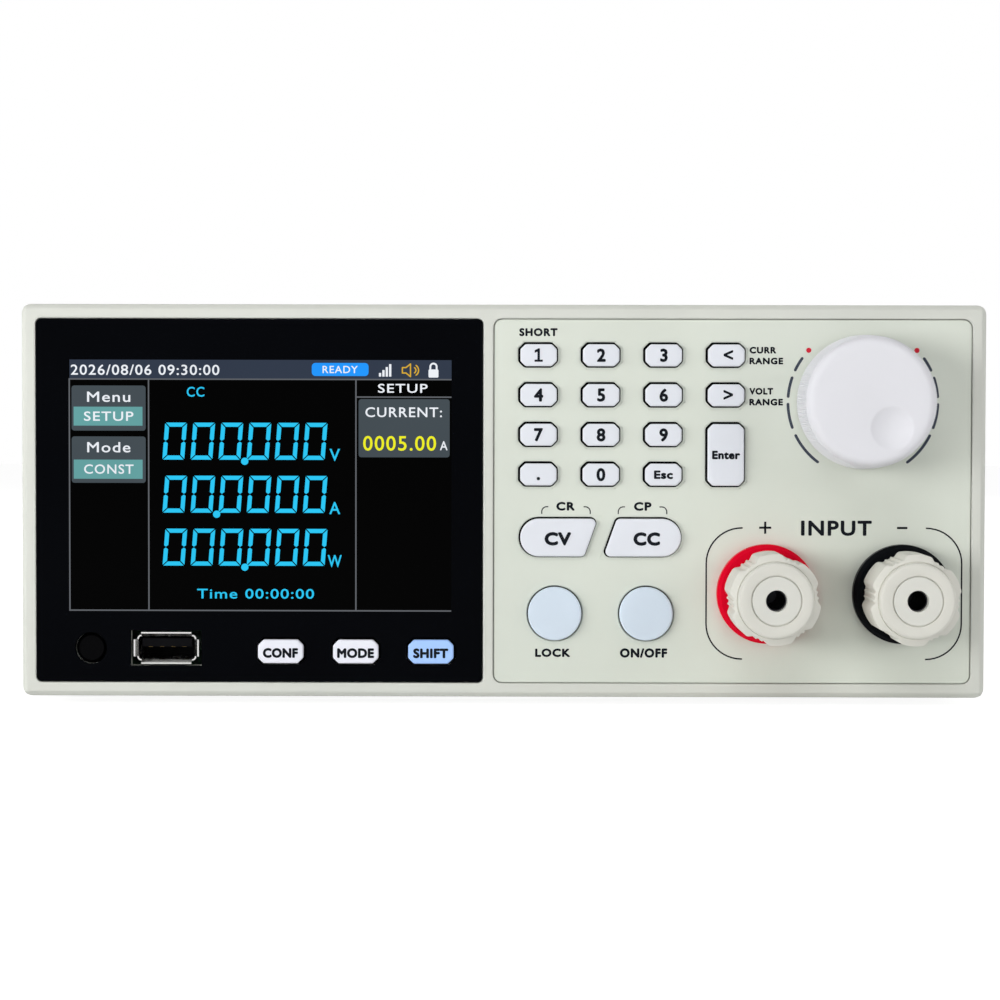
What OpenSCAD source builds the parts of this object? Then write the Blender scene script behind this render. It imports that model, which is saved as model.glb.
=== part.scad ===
// Bench DC electronic load: a half-rack steel case with a moulded front, a display window, a keypad,
// an adjustment knob and two screw-down input posts. Millimetres, +Z up, the front faces -Y, and the
// origin is on the bench under the middle of the instrument.

/* [Front moulding] */
// Width of the moulded front
panel_w = 214; // [212:1:226]
// Height of the moulded front
panel_h = 87.2; // [87:0.2:94]
// Depth of the moulding's skirt
skirt_d = 22; // [21:0.5:28]
// Thickness of the skirt
skirt_wall = 2.5; // [2:0.1:2.8]
// Radius of the moulding's corners
panel_r = 2.2; // [1.2:0.1:3]
// Chamfer round the front edge
front_chamfer = 1; // [0.4:0.1:1.5]
// Border round the two inlays
border = 3.1; // [3:0.1:4]
// Strip between the two inlays
mid_strip = 2.2; // [1.5:0.1:3]
// Thickness of the wall behind the inlays
face_wall = 2.5; // [2:0.1:3.2]

/* [Inlays] */
// Width of the display window
window_w = 99.5; // [98:0.5:102]
// Corner radius of the display window
window_r = 1.3; // [0.8:0.1:2]
// Thickness of the display window
window_t = 1.5; // [1:0.1:2]
// How far the window lies below the moulding's face
window_sink = 0.1; // [0:0.05:0.4]
// Corner radius of the keypad overlay
overlay_r = 2; // [1:0.1:3]
// Thickness of the keypad overlay
overlay_t = 0.8; // [0.5:0.1:1.2]
// How far the overlay lies below the moulding's face
overlay_sink = 0.3; // [0:0.05:0.5]
// Gap round each inlay
inlay_gap = 0.2; // [0.1:0.05:0.4]

/* [Display] */
// Width of the lit area
screen_w = 85.3; // [80:0.1:88]
// Height of the lit area
screen_h = 56; // [50:0.5:57]
// How far the screen sits above the panel's middle
screen_up = 3.2; // [2.5:0.1:4]
// Side rim of the display module
lcd_rim_x = 3.6; // [2.5:0.1:4.5]
// Top and bottom rim of the display module
lcd_rim_z = 2.8; // [2:0.1:3]
// Thickness of the display module
lcd_t = 4.8; // [3:0.1:6]

/* [Keypad] */
// Width of a number key
pad_w = 8.3; // [7:0.1:9.5]
// Height of a number key
pad_h = 5.1; // [4.5:0.1:5.6]
// Cut corner of a number key
pad_cut = 1.2; // [0.8:0.1:2]
// Spacing of the key columns
pad_pitch_x = 13.85; // [12.5:0.05:14.5]
// Spacing of the key rows
pad_pitch_z = 8.81; // [8.6:0.01:9.2]
// First column from the overlay's left edge
pad_in = 10; // [8:0.1:11]
// First row from the overlay's top edge
pad_down = 8.1; // [7.5:0.1:9]
// Height of the two slanted keys
mode_h = 8.4; // [7:0.1:9]
// Length of a slanted key at its middle
mode_w = 15.7; // [13:0.1:16.5]
// Lean of the slanted edge over the key's height
mode_lean = 3; // [1:0.1:4]
// Gap between the two slanted edges
mode_gap = 4.3; // [3.5:0.1:6]
// Slanted keys below the last key row
mode_drop = 14; // [12.5:0.1:15]
// Diameter of the two round keys
round_d = 11.5; // [10:0.1:13]
// Spacing of the two round keys
round_pitch = 20.3; // [18:0.1:21]
// Round keys below the slanted keys
round_drop = 16.9; // [15:0.1:18]
// Width of a menu key
menu_w = 10.3; // [9:0.1:11.5]
// Height of a menu key
menu_h = 5.5; // [4.8:0.1:6]
// Cut corner of a menu key
menu_cut = 1.3; // [0.8:0.1:2]
// Spacing of the menu keys
menu_pitch = 16.7; // [15:0.1:17]
// Last menu key from the window's right edge
menu_in = 11.6; // [10:0.1:13]
// Menu keys above the window's bottom edge
menu_up = 7; // [6:0.1:7.4]
// Gap round each key
key_gap = 0.36; // [0.2:0.02:0.5]
// Gap round each key in the printed overlay
film_gap = 0.6; // [0.5:0.02:0.8]
// How far a key stands out of the moulding's face
key_out = 1; // [0.7:0.1:1.6]
// Bevel round a key's front
key_bevel = 0.4; // [0.2:0.05:0.6]
// Lip of the flange that holds a key behind the wall
flange_lip = 0.7; // [0.5:0.05:0.8]
// Thickness of that flange
flange_t = 1; // [0.8:0.1:1.4]
// Free play between flange and wall
key_play = 0.1; // [0.05:0.05:0.2]
// Travel of a key
key_travel = 0.6; // [0.3:0.1:0.8]
// Diameter of a key's stem
stem_d = 3; // [2.4:0.1:3.4]

/* [Front board] */
// Depth of the board's front side behind the face
board_depth = 14; // [13.4:0.1:16]
// Thickness of the circuit boards
board_t = 1.6; // [1:0.1:2]
// Width of a switch body
switch_w = 6.2; // [5.4:0.1:7]
// Height of a switch body on its board
switch_t = 3.5; // [3.4:0.1:4]
// Diameter of the bosses that carry the board
boss_d = 5; // [4:0.1:5.4]

/* [Power button and USB socket] */
// Diameter of the power button
power_d = 6.5; // [5.5:0.1:7.2]
// Gap round the power button
power_gap = 0.3; // [0.2:0.05:0.5]
// How far the latched button lies below the face
power_sink = 1; // [0.5:0.1:1.5]
// Travel of the button when it unlatches
power_travel = 2.5; // [1.5:0.1:2.8]
// Power button from the window's left edge
power_in = 12.2; // [11.6:0.1:13]
// Power button and socket above the window's bottom edge
port_up = 7.6; // [7.2:0.1:8.2]
// Socket from the window's left edge
usb_in = 28.9; // [27:0.1:30]
// Width of the socket's cut-out
usb_cut_w = 15.9; // [15:0.1:16.5]
// Height of the socket's cut-out
usb_cut_h = 7.9; // [7.5:0.1:8.4]
// Width of the socket's mouth
usb_w = 12.5; // [12.4:0.05:12.7]
// Height of the socket's mouth
usb_h = 5.12; // [5:0.02:5.3]
// Sheet of the socket's shell
usb_sheet = 0.35; // [0.3:0.05:0.5]

/* [Adjustment knob] */
// Diameter of the knob
knob_d = 29.8; // [24:0.2:32]
// Height of the knob
knob_h = 15; // [12.5:0.5:18]
// Gap between knob and overlay
knob_lift = 0.7; // [0.65:0.05:1]
// Rounding of the knob's front edge
knob_round = 2; // [1:0.1:3]
// Push travel of the knob
knob_travel = 0.5; // [0.3:0.05:0.6]
// Diameter of the finger dimple
dimple_d = 9.8; // [8:0.2:11]
// Dimple's distance from the knob's middle
dimple_off = 7.2; // [6.5:0.1:8]
// Knob from the overlay's right edge
dial_in = 24.2; // [22:0.1:26]
// Knob from the overlay's top edge
dial_down = 18.35; // [17.5:0.05:20]
// Diameter of the knob's shaft
shaft_d = 6; // [5.5:0.1:6.3]
// Diameter of the shaft's bush
bush_d = 8; // [7.6:0.1:9]
// Width of the encoder's body
encoder_w = 13; // [12:0.1:15]
// Depth of the encoder's body
encoder_t = 6.5; // [6:0.1:7]

/* [Input posts] */
// Spacing of the two posts
post_pitch = 30.1; // [26:0.1:32]
// Right post from the overlay's right edge
post_in = 15.4; // [14:0.1:17]
// Posts above the overlay's bottom edge
post_up = 20.1; // [18:0.1:21]
// Diameter of the coloured collar
collar_d = 22; // [21.5:0.2:25]
// Thickness of the collar
collar_t = 3; // [2:0.1:4]
// Diameter of the collar's neck in the wall
neck_d = 11; // [9:0.1:12]
// Diameter of the threaded stud
stud_d = 6; // [5.6:0.1:6.4]
// Bore that takes a plug
socket_d = 4.1; // [4.1:0.01:4.2]
// Depth of that bore in the stud
socket_l = 19; // [15:0.5:20]
// Diameter over the cap's lobes
cap_d = 20.5; // [19:0.1:21.4]
// Cap's front face in front of the moulding's face
cap_out = 24; // [23:0.5:28]
// Diameter of the cap's plain front
nose_d = 16.8; // [15.6:0.1:17.2]
// Length of the cap's plain front
nose_l = 2.2; // [1.6:0.1:5]
// Depth of the valleys between the lobes
valley_deep = 1.1; // [0.8:0.1:1.7]
// Width of a lobe at its tip
lobe_tip = 4.6; // [3:0.1:5]
// Width of a lobe at its root
lobe_root = 7.4; // [5.4:0.1:7.6]
// Length of the plain heel behind the lobes
heel_l = 3.2; // [1:0.1:5]
// Width of the ribs in the valleys
rib_w = 0.5; // [0.3:0.05:0.7]
// Diameter of the fixed insert in the cap's front
insert_d = 10.4; // [9.6:0.1:11.4]
// Hole in that insert
insert_hole_d = 4.6; // [4.5:0.05:4.9]
// Thickness of the insert
insert_t = 2.4; // [1.8:0.1:3]
// How far the cap unscrews
cap_travel = 3; // [1.5:0.1:3.4]
// Across flats of the nuts behind the wall
nut_af = 15; // [14:0.5:17]
// Thickness of a nut
nut_t = 4.2; // [3:0.1:4.6]

/* [Case] */
// Depth from the front face to the rear panel
body_d = 290; // [270:5:340]
// How far the case lies inside the front's outline
case_inset = 2; // [1.5:0.1:2]
// Sheet of the case
sheet = 1; // [0.8:0.1:1.1]
// Height of the rubber feet
foot_h = 4; // [3.5:0.5:8]
// Diameter of the rubber feet
foot_d = 16; // [14:0.5:20]
// Feet from the case's sides
foot_in = 20; // [16:1:30]
// Feet from the case's front and rear
foot_end = 28; // [20:1:40]
// Number of vent slots in a row
vent_count = 15; // [6:1:18]
// Width of a vent slot
vent_w = 3; // [2:0.1:3.5]
// Height of a vent slot
vent_h = 22; // [12:1:26]
// Spacing of the vent slots
vent_pitch = 6; // [5:0.1:6.5]

/* [Rear] */
// Thickness of the rear panel
rear_t = 1.2; // [1:0.1:1.5]
// Size of the square fan
fan_w = 80; // [70:1:80]
// Depth of the fan
fan_d = 25; // [22:0.5:28]
// Fan right of the middle, seen from the front
fan_x = 52; // [48:1:58]
// Number of fan blades
fan_blades = 7; // [5:1:9]
// Number of slot rings in the fan grille
grille_rings = 6; // [4:1:7]
// Width of a grille ring's slot
grille_slot = 4; // [3:0.1:4.2]
// Mains inlet left of the middle, seen from the front
inlet_x = 74; // [70:1:76]
// How far the serial port stands out of the rear panel
port_out = 6; // [5.5:0.1:8]

/* [Inside] */
// Height of the main board above the case's floor
standoff_h = 6; // [4:0.5:8]
// Length of the heat sink
sink_l = 120; // [90:5:130]
// Number of fins
fin_count = 13; // [8:1:15]
// Thickness of a fin
fin_t = 1.6; // [1:0.1:2.2]
// Number of power transistors
power_count = 5; // [3:1:5]

/* [Hidden] */
$fn = 48;
overlap = 0.5; // how far pieces of one solid run into each other, and cuts run past a face
fit_gap = 0.03; // radial gap of pieces that are pushed together
run_gap = 0.05; // radial gap of pieces that turn or slide in each other
corner_growth = 2 - sqrt(2); // growth of a 45 degree corner cut for each unit of outline growth

// Heights in the panel's own frame: x right, y up, z out of the face
inlay_h = panel_h - 2 * border;
overlay_w = panel_w - 2 * border - mid_strip - window_w;
window_l = -panel_w / 2 + border;
window_x = window_l + window_w / 2;
overlay_rt = panel_w / 2 - border;
overlay_l = overlay_rt - overlay_w;
overlay_x = overlay_rt - overlay_w / 2;
inlay_top = inlay_h / 2;
overlay_front = -overlay_sink;
overlay_seat = overlay_front - overlay_t;
window_seat = -window_sink - window_t;
wall_back = min(overlay_seat, window_seat) - face_wall;
board_front = -board_depth;
board_back = board_front - board_t;
switch_front = board_front + switch_t;
skirt_back = -skirt_d;

// Keys: name, outline, place on the panel
flange_front = wall_back - key_play;
flange_back = flange_front - flange_t;
stem_r = stem_d / 2;
stem_grip = 1.9;
stem_end = switch_front - stem_grip;
stem_bore_r = stem_r + 0.15;
stem_spare = 0.2;
col_x = [for (i = [0:3]) overlay_l + pad_in + i * pad_pitch_x];
row_z = [for (i = [0:3]) inlay_top - pad_down - i * pad_pitch_z];
enter_h = pad_h + pad_pitch_z;
enter_z = (row_z[2] + row_z[3]) / 2;
mode_z = row_z[3] - mode_drop;
mode_x = col_x[1];
mode_off = mode_gap / 2 + mode_w / 2;
round_z = mode_z - round_drop;
menu_x = [for (i = [2:-1:0]) window_l + window_w - menu_in - i * menu_pitch];
menu_z = -inlay_top + menu_up;
PAD_NAMES = [["1", "2", "3", "left"], ["4", "5", "6", "right"], ["7", "8", "9"], ["dot", "0", "esc"]];
KEYS = concat(
    [for (r = [0:3]) for (c = [0:len(PAD_NAMES[r]) - 1])
        [str("key_", PAD_NAMES[r][c]), "pad", col_x[c], row_z[r]]],
    [["key_enter", "enter", col_x[3], enter_z],
     ["key_cv", "slant", mode_x - mode_off, mode_z],
     ["key_cc", "slant_turned", mode_x + mode_off, mode_z],
     ["key_lock", "round", mode_x - round_pitch / 2, round_z],
     ["key_on_off", "round", mode_x + round_pitch / 2, round_z],
     ["key_conf", "menu", menu_x[0], menu_z],
     ["key_mode", "menu", menu_x[1], menu_z],
     ["key_shift", "menu", menu_x[2], menu_z]]);

// Power button and socket
port_z = -inlay_top + port_up;
power_x = window_l + power_in;
power_r = power_d / 2;
power_front = -power_sink;
power_flange_front = wall_back - power_travel - 0.6;
power_flange_t = 1;
power_flange_r = power_r + power_gap + 0.6;
power_back = power_flange_front - power_flange_t;
power_switch_w = 8;
power_switch_front = power_back - 0.9;
power_stem_end = board_front + 0.9;
power_press = 0.4; // further travel of the latched button
usb_x = window_l + usb_in;
usb_front = -0.6;
usb_r = 0.6; // corners of the shell's mouth
usb_flare = 0.7; // how far the lips round the mouth bend out
usb_lip_d = 0.9;
usb_lip_w = 11.2;
usb_lip_h = 3.8;
usb_block_t = 2.2;
usb_tongue_w = 11.1;
usb_tongue_t = 1.84;
usb_tongue_front = -2.4;
usb_tongue_up = 1.1; // tongue above the mouth's middle

// Knob and encoder
dial_x = overlay_rt - dial_in;
dial_z = inlay_top - dial_down;
knob_back = overlay_front + knob_lift;
knob_front = knob_back + knob_h;
knob_r = knob_d / 2;
shaft_r = shaft_d / 2;
shaft_front = knob_front - 3.6;
encoder_front = board_front + encoder_t;
chamber_r = shaft_r + 1.6;
chamber_front = encoder_front - 2;
chamber_l = 3.4;
shaft_end = chamber_front + 0.1;
plunger_t = 1.2;
plunger_front = shaft_end - 0.15;
bush_front = overlay_front;
dimple_deep = 1.3;
dimple_turn = -45;
dimple_r = ((dimple_d / 2) ^ 2 + dimple_deep ^ 2) / (2 * dimple_deep);

// Input posts
post_z = -inlay_top + post_up;
post_minus_x = overlay_rt - post_in;
post_plus_x = post_minus_x - post_pitch;
post_xs = [post_plus_x, post_minus_x];
lobe_turn_plus = 37;
lobe_turn_minus = 20;
lobes = 6;
neck_gap = 0.3;
collar_front = overlay_front + collar_t;
collar_round = 0.8;
stud_r = stud_d / 2;
insert_front = cap_out - 0.1;
stud_front = insert_front - insert_t;
ring_t = 1;
ring_r = 6.4;
ring_gap = 0.2;
ring_back = collar_front + ring_gap;
cap_back = ring_back + 0.3;
ring_pocket = ring_back + ring_t + ring_gap;
cap_well = stud_front - cap_travel - ring_gap;
well_gap = 0.15;
nose_back = cap_out - nose_l;
nose_round = 0.8;
nose_step = 0.2; // the grip's front edge round the nose
shoulder_l = 0.8;
heel_step = 0.3; // how far the heel lies below the valleys
grip_back = cap_back + heel_l;
lobe_draft = 0.35;
rib_h = 0.35;
rib_off = 0.65; // ribs from the valley's middle
lug_t = 1;
lug_front = wall_back - nut_t;
nut_two_front = lug_front - lug_t;
stud_back = nut_two_front - nut_t - 2;

// Bosses of the front moulding: board bosses and the corner pillars that the case is screwed to
boss_top = inlay_top - 2.5;
boss_low = -inlay_top + 4.5;
post_side = post_plus_x - 12.4; // left side of the room that the posts take
BOSSES = [[window_l + 14, boss_top], [overlay_l - mid_strip / 2, boss_top], [overlay_rt - 14, boss_top],
    [(usb_x + menu_x[0]) / 2 + 0.8, boss_low], [overlay_l - mid_strip / 2, boss_low],
    [post_side - 4, boss_low]];
pillar_r = 3;
pillar_x = panel_w / 2 - skirt_wall - 4;
pillar_z = panel_h / 2 - skirt_wall - 3.3;
PILLARS = [for (x = [-1, 1], z = [-1, 1]) [x * pillar_x, z * pillar_z]];
screw_r = 1.4;
screw_gap = 0.08;
screw_head_r = 2.7;
screw_head_t = 1.7;
screw_bite = 5;

// Case, measured from the bench upwards and from the front face backwards
panel_z = foot_h - case_inset + panel_h / 2;
case_w = panel_w - 2 * case_inset;
case_top = foot_h + panel_h - 2 * case_inset;
face_y = cap_out - (cap_out + body_d + port_out) / 2;
floor_top = foot_h + sheet;
case_fit = 0.1;
tray_w = case_w - 2 * sheet - 2 * case_fit;
wall_top = case_top - sheet - case_fit;
rear_inner = body_d - rear_t;
rear_flange = 12; // side flanges of the rear panel
rear_lift = 2;
tray_side_h = 16;
tray_side_y = skirt_d + sheet + screw_head_t + 1; // side walls start behind the pillar screws
cover_r = 1.5;
cover_low = foot_h + 0.8;
side_screw_z = foot_h + 10;
side_screw_ys = [skirt_d + 18, body_d / 2 + skirt_d / 2, body_d - 30];
vent_y = skirt_d + 30;
vent_rows = [panel_z - vent_h / 2 - 3.5, panel_z + vent_h / 2 + 3.5];
feet_places = [for (x = [-1, 1], y = [skirt_d + foot_end, body_d - foot_end])
    [x * (case_w / 2 - foot_in), y]];
foot_screw_r = 3.4;
foot_screw_deep = 2.4;

// Rear: fan, inlet with its fuse drawer, and ports
fan_front = rear_inner - fan_d;
fan_seat = 0.3; // gap between the fan and the case's floor
fan_z = floor_top + fan_seat + fan_w / 2;
fan_bore_r = fan_w / 2 - 2;
fan_hole = fan_w / 2 - 4.25;
fan_hole_r = 2.15;
fan_hub_r = 15;
fan_hub_t = 7;
rotor_hub_r = 16;
rotor_front = fan_front + fan_hub_t + 0.6;
rotor_back = rear_inner - 2;
rotor_tip_r = fan_bore_r - 1;
rotor_pin_r = 1.5;
rotor_pin_l = 5;
blade_t = 1.6;
blade_twist = 38;
grille_pitch = (fan_bore_r - rotor_hub_r / 2) / grille_rings;
grille_web = 3;
inlet_w = 28;
inlet_h = 33;
inlet_rim = 2.4;
inlet_hole = 20; // screw hole from the inlet's middle
inlet_ear_r = 5.2;
inlet_rim_t = 2.6;
inlet_l = 24;
inlet_z = panel_z - 10;
mouth_w = 24.4;
mouth_h = 16.6;
mouth_cut = 4.5;
mouth_deep = 16.5;
mouth_up = 6; // socket above the inlet's middle
pin_l = 11.5;
drawer_w = 20;
drawer_h = 8;
drawer_l = 21;
drawer_gap = 0.15;
drawer_down = 10.4; // drawer below the inlet's middle
drawer_face_t = 1.4;
drawer_lip = 0.8;
trough_wall = 1.5; // walls of the fuse trough in the drawer
port_in = 74; // column of the ports, from the fan's axis
port_x = fan_x - port_in;
port_deep = 12;
port_fit = 0.15;
port_floor = 0.6; // floor of the serial port's shell outside the panel
serial_up = 20;
serial_z = panel_z + serial_up;
serial_w = 17;
serial_h = 8.4;
serial_slope = 1.6; // how far each end of the D leans in
serial_wall = 0.5;
serial_plate_w = 31;
serial_plate_h = 12.6;
serial_pin_r = 0.5;
serial_pin_pitch = 2.77;
serial_row = 2.84;
SERIAL_PINS = [for (row = [0, 1], i = [0:4 - row])
    [(i - (4 - row) / 2) * serial_pin_pitch, (0.5 - row) * serial_row]];
square_down = 2;
square_z = panel_z - square_down;
square_w = 12;
square_h = 10.9;
square_wall = 1.2;
square_tongue = [5.6, 3.2];
terminal_down = 24;
terminal_z = panel_z - terminal_down;
terminal_w = 21;
terminal_h = 9;
terminal_out = 3;
terminal_ways = 4;
terminal_hole = [3.4, 4];

// Inside
main_top = floor_top + standoff_h + board_t;
main_front = skirt_d + sheet + 4;
main_break = main_front + 80;
main_back = body_d - 42;
sink_front = fan_front - sink_l - 6;
sink_x = fan_x - fan_w / 2 + 4;
sink_base_t = 6;
sink_w = fan_w - 8;
sink_top = fan_z + fan_w / 2 - 4;
sink_low = floor_top + 7;
power_w = 16;
power_h = 21;
power_t = 5;
lug_w = 12;
bar_reach = 30;
bar_back = main_front + bar_reach;
main_w = tray_w - 8;
main_half_r = sink_x - power_t - 4; // right side of the board beside the heat sink
board_foot_r = 3;
board_foot_in = 6; // standoffs from the board's edges
part_seat = 0.1; // how far a component sits in its board
can_r = 9;
can_h = 34;
can_pitch = 24;
can_back = 18; // row of capacitors behind the board's break
relay_w = 28;
relay_d = 14;
relay_h = 16;
relay_x = -16;
relay_y = main_front + 47;
shunt_d = 16;
shunt_h = 20;
shunt_y = main_front + 44;
core_w = 48;
core_d = 28;
core_h = 40;
core_rim = 8; // core round the windings' window
core_leg = 16;
coil_w = 30;
coil_h = 22;
coil_l = 40;
aux_in = 28; // transformer from the board's left and rear edges
aux_end = 52;
aux_x = aux_in - main_w / 2;
aux_y = main_back - aux_end;
ribbon_w = 26;
ribbon_t = 0.9;
ribbon_x = -20;
ribbon_down = 16;
ribbon_reach = 22;
ribbon_z = panel_z - ribbon_down;
ribbon_back = main_front + ribbon_reach;

// The panel's own frame: x right, y up, z out of the face
module on_panel(x = 0, z = 0) {
    translate([x, face_y, panel_z + z]) rotate([90, 0, 0]) children();
}

// The case's frame: y backwards from the front face, z up from the bench
module in_case() {
    translate([0, face_y, 0]) children();
}

// A plate of the outline below, from its front side backwards
module plate(front, thick) {
    translate([0, 0, front - thick]) linear_extrude(thick) children();
}

// A round pin along the panel's depth, between two heights
module pin(r, front, back) {
    translate([0, 0, back]) cylinder(r = r, h = front - back);
}

// A box between two corners
module block(low, high) {
    translate(low) cube(high - low);
}

// A round pin along the case's depth
module long_pin(r, y0, y1) {
    translate([0, y0, 0]) rotate([-90, 0, 0]) cylinder(r = r, h = y1 - y0);
}

module rounded(w, h, r) {
    square([w - 2 * r, h], center = true);
    square([w, h - 2 * r], center = true);
    for (x = [-1, 1], y = [-1, 1]) translate([x * (w / 2 - r), y * (h / 2 - r)]) circle(r);
}

module cut_corners(w, h, c) {
    polygon([[c - w / 2, -h / 2], [w / 2 - c, -h / 2], [w / 2, c - h / 2], [w / 2, h / 2 - c],
        [w / 2 - c, h / 2], [c - w / 2, h / 2], [-w / 2, h / 2 - c], [-w / 2, c - h / 2]]);
}

// Outline of the slanted key: a round left end and a leaning right edge
module slant_outline(grow) {
    r = mode_h / 2 + grow;
    lean = mode_lean / mode_h;
    edge = mode_w / 2 + grow * sqrt(1 + lean ^ 2);
    left = -mode_w / 2 + mode_h / 2;
    translate([left, 0]) circle(r);
    polygon([[left, -r], [edge - lean * r, -r], [edge + lean * r, r], [left, r]]);
}

// Outline of a key, grown by the gap or lip round it
module key_outline(kind, grow) {
    if (kind == "pad") cut_corners(pad_w + 2 * grow, pad_h + 2 * grow, pad_cut + corner_growth * grow);
    if (kind == "enter") cut_corners(pad_w + 2 * grow, enter_h + 2 * grow, pad_cut + corner_growth * grow);
    if (kind == "menu") cut_corners(menu_w + 2 * grow, menu_h + 2 * grow, menu_cut + corner_growth * grow);
    if (kind == "slant") slant_outline(grow);
    if (kind == "slant_turned") rotate(180) slant_outline(grow);
    if (kind == "round") circle(round_d / 2 + grow);
}

// Outlines of all keys at their places, with a gap round them
module key_holes(gap) {
    for (k = KEYS) translate([k[2], k[3]]) key_outline(k[1], gap);
}

function key_colour(kind) =
    kind == "round" ? [0.82, 0.88, 0.93] : kind == "menu" ? [0.8, 0.84, 0.9] : [0.89, 0.91, 0.93];

// Half section of a round key, from its stem's end to its bevelled front
module round_key_section() {
    r = round_d / 2;
    lip = r + key_gap + flange_lip;
    polygon([[0, stem_end], [stem_r, stem_end], [stem_r, flange_back], [lip, flange_back],
        [lip, flange_front], [r, flange_front], [r, key_out - key_bevel],
        [r - key_bevel, key_out], [0, key_out]]);
}

// A key: bevelled cap, flange behind the wall, and the stem that presses its switch
module key(k) {
    color(key_colour(k[1])) on_panel(k[2], k[3]) if (k[1] == "round") {
        rotate_extrude() round_key_section();
    } else {
        hull() {
            plate(key_out, key_bevel / 8) key_outline(k[1], -key_bevel);
            plate(key_out - key_bevel, key_out - key_bevel - flange_back) key_outline(k[1], 0);
        }
        plate(flange_front, flange_t) key_outline(k[1], key_gap + flange_lip);
        pin(stem_r, flange_front, stem_end);
    }
}

// Solid front with its chamfered edge
module front_block() {
    half_w = panel_w / 2;
    half_h = panel_h / 2;
    c = front_chamfer;
    intersection() {
        plate(0, skirt_d) rounded(panel_w, panel_h, panel_r);
        rotate([90, 0, 0]) linear_extrude(panel_h, center = true)
            polygon([[-half_w, skirt_back], [half_w, skirt_back], [half_w, -c], [half_w - c, 0],
                [c - half_w, 0], [-half_w, -c]]);
        rotate([90, 0, 90]) linear_extrude(panel_w, center = true)
            polygon([[-half_h, skirt_back], [half_h, skirt_back], [half_h, -c], [half_h - c, 0],
                [c - half_h, 0], [-half_h, -c]]);
    }
}

// Holes for the knob's bush, the post necks, the power button and the socket
module window_holes() {
    translate([power_x, port_z]) circle(power_r + power_gap);
    translate([usb_x, port_z]) square([usb_cut_w, usb_cut_h], center = true);
}

module overlay_holes() {
    translate([dial_x, dial_z]) circle(bush_d / 2 + neck_gap);
    for (x = post_xs) translate([x, post_z]) circle(neck_d / 2 + neck_gap);
}

module front_bezel() {
    inner_w = panel_w - 2 * skirt_wall;
    inner_h = panel_h - 2 * skirt_wall;
    color([0.86, 0.865, 0.83]) on_panel() {
        difference() {
            front_block();
            plate(wall_back, skirt_d) square([inner_w, inner_h], center = true);
            translate([window_x, 0, window_seat]) linear_extrude(skirt_d)
                rounded(window_w, inlay_h, window_r);
            translate([overlay_x, 0, overlay_seat]) linear_extrude(skirt_d)
                rounded(overlay_w, inlay_h, overlay_r);
            translate([0, 0, wall_back - overlap]) linear_extrude(face_wall + 2) {
                key_holes(key_gap);
                window_holes();
                overlay_holes();
                translate([window_x, screen_up]) square([screen_w + 2, screen_h + 2], center = true);
            }
        }
        for (b = BOSSES) translate([b[0], b[1], 0]) difference() {
            pin(boss_d / 2, wall_back + overlap, board_front);
            pin(screw_r + screw_gap, wall_back - overlap, board_front - overlap);
        }
        for (p = PILLARS) translate([p[0], p[1], 0]) difference() {
            pin(pillar_r, wall_back + overlap, skirt_back);
            pin(screw_r + screw_gap, skirt_back + screw_bite + 2, skirt_back - overlap);
        }
    }
}

module keypad_overlay() {
    color([0.85, 0.87, 0.83]) on_panel() plate(overlay_front, overlay_t) difference() {
        translate([overlay_x, 0])
            rounded(overlay_w - 2 * inlay_gap, inlay_h - 2 * inlay_gap, overlay_r - inlay_gap);
        key_holes(film_gap);
        overlay_holes();
    }
}

module display_window() {
    color([0.06, 0.065, 0.07]) on_panel() plate(-window_sink, window_t) difference() {
        translate([window_x, 0])
            rounded(window_w - 2 * inlay_gap, inlay_h - 2 * inlay_gap, window_r - inlay_gap);
        key_holes(key_gap);
        window_holes();
    }
}

// Display module: a folded frame with the screen set back in it
module lcd_module() {
    color([0.2, 0.21, 0.22]) on_panel(window_x, screen_up) difference() {
        plate(wall_back, lcd_t) square([screen_w + 2 * lcd_rim_x, screen_h + 2 * lcd_rim_z], center = true);
        plate(wall_back + overlap, overlap + 0.8) square([screen_w, screen_h], center = true);
    }
}

// Circuit board behind the front, cut away round the posts
module front_board() {
    left = window_l + 8;
    right = overlay_rt - 8;
    post_room = post_z + 16.4;
    color([0.1, 0.32, 0.2]) on_panel() plate(board_front, board_t) difference() {
        polygon([[left, -inlay_top], [post_side, -inlay_top], [post_side, post_room], [right, post_room],
            [right, inlay_top], [left, inlay_top]]);
        for (b = BOSSES) translate(b) circle(screw_r + screw_gap);
    }
}

// One switch for each key, and the latching power switch
module switch_bodies() {
    color([0.13, 0.13, 0.14]) on_panel() {
        for (k = KEYS) translate([k[2], k[3], 0]) difference() {
            plate(switch_front, switch_t) square(switch_w, center = true);
            pin(stem_bore_r, switch_front + overlap, stem_end - key_travel - stem_spare);
        }
        translate([power_x, port_z, 0]) difference() {
            plate(power_switch_front, power_switch_front - board_front) square(power_switch_w, center = true);
            pin(stem_bore_r, power_switch_front + overlap, power_stem_end - power_press - stem_spare);
        }
    }
}

// Power button, drawn latched in
module power_button() {
    color([0.05, 0.05, 0.055]) on_panel(power_x, port_z) rotate_extrude()
        polygon([[0, power_stem_end], [stem_r, power_stem_end], [stem_r, power_back],
            [power_flange_r, power_back], [power_flange_r, power_flange_front], [power_r, power_flange_front],
            [power_r, power_front - 0.5], [power_r - 0.5, power_front], [0, power_front]]);
}

// A lip of the shell's mouth, bent out of the sheet above it
module usb_lip(reach, long) {
    root = usb_front - usb_lip_d;
    rotate([90, 0, 90]) linear_extrude(long, center = true)
        polygon([[reach, root - overlap], [reach + usb_sheet, root - overlap], [reach + usb_sheet, root],
            [reach + usb_sheet + usb_flare, usb_front], [reach + usb_flare, usb_front], [reach, root]]);
}

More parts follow.
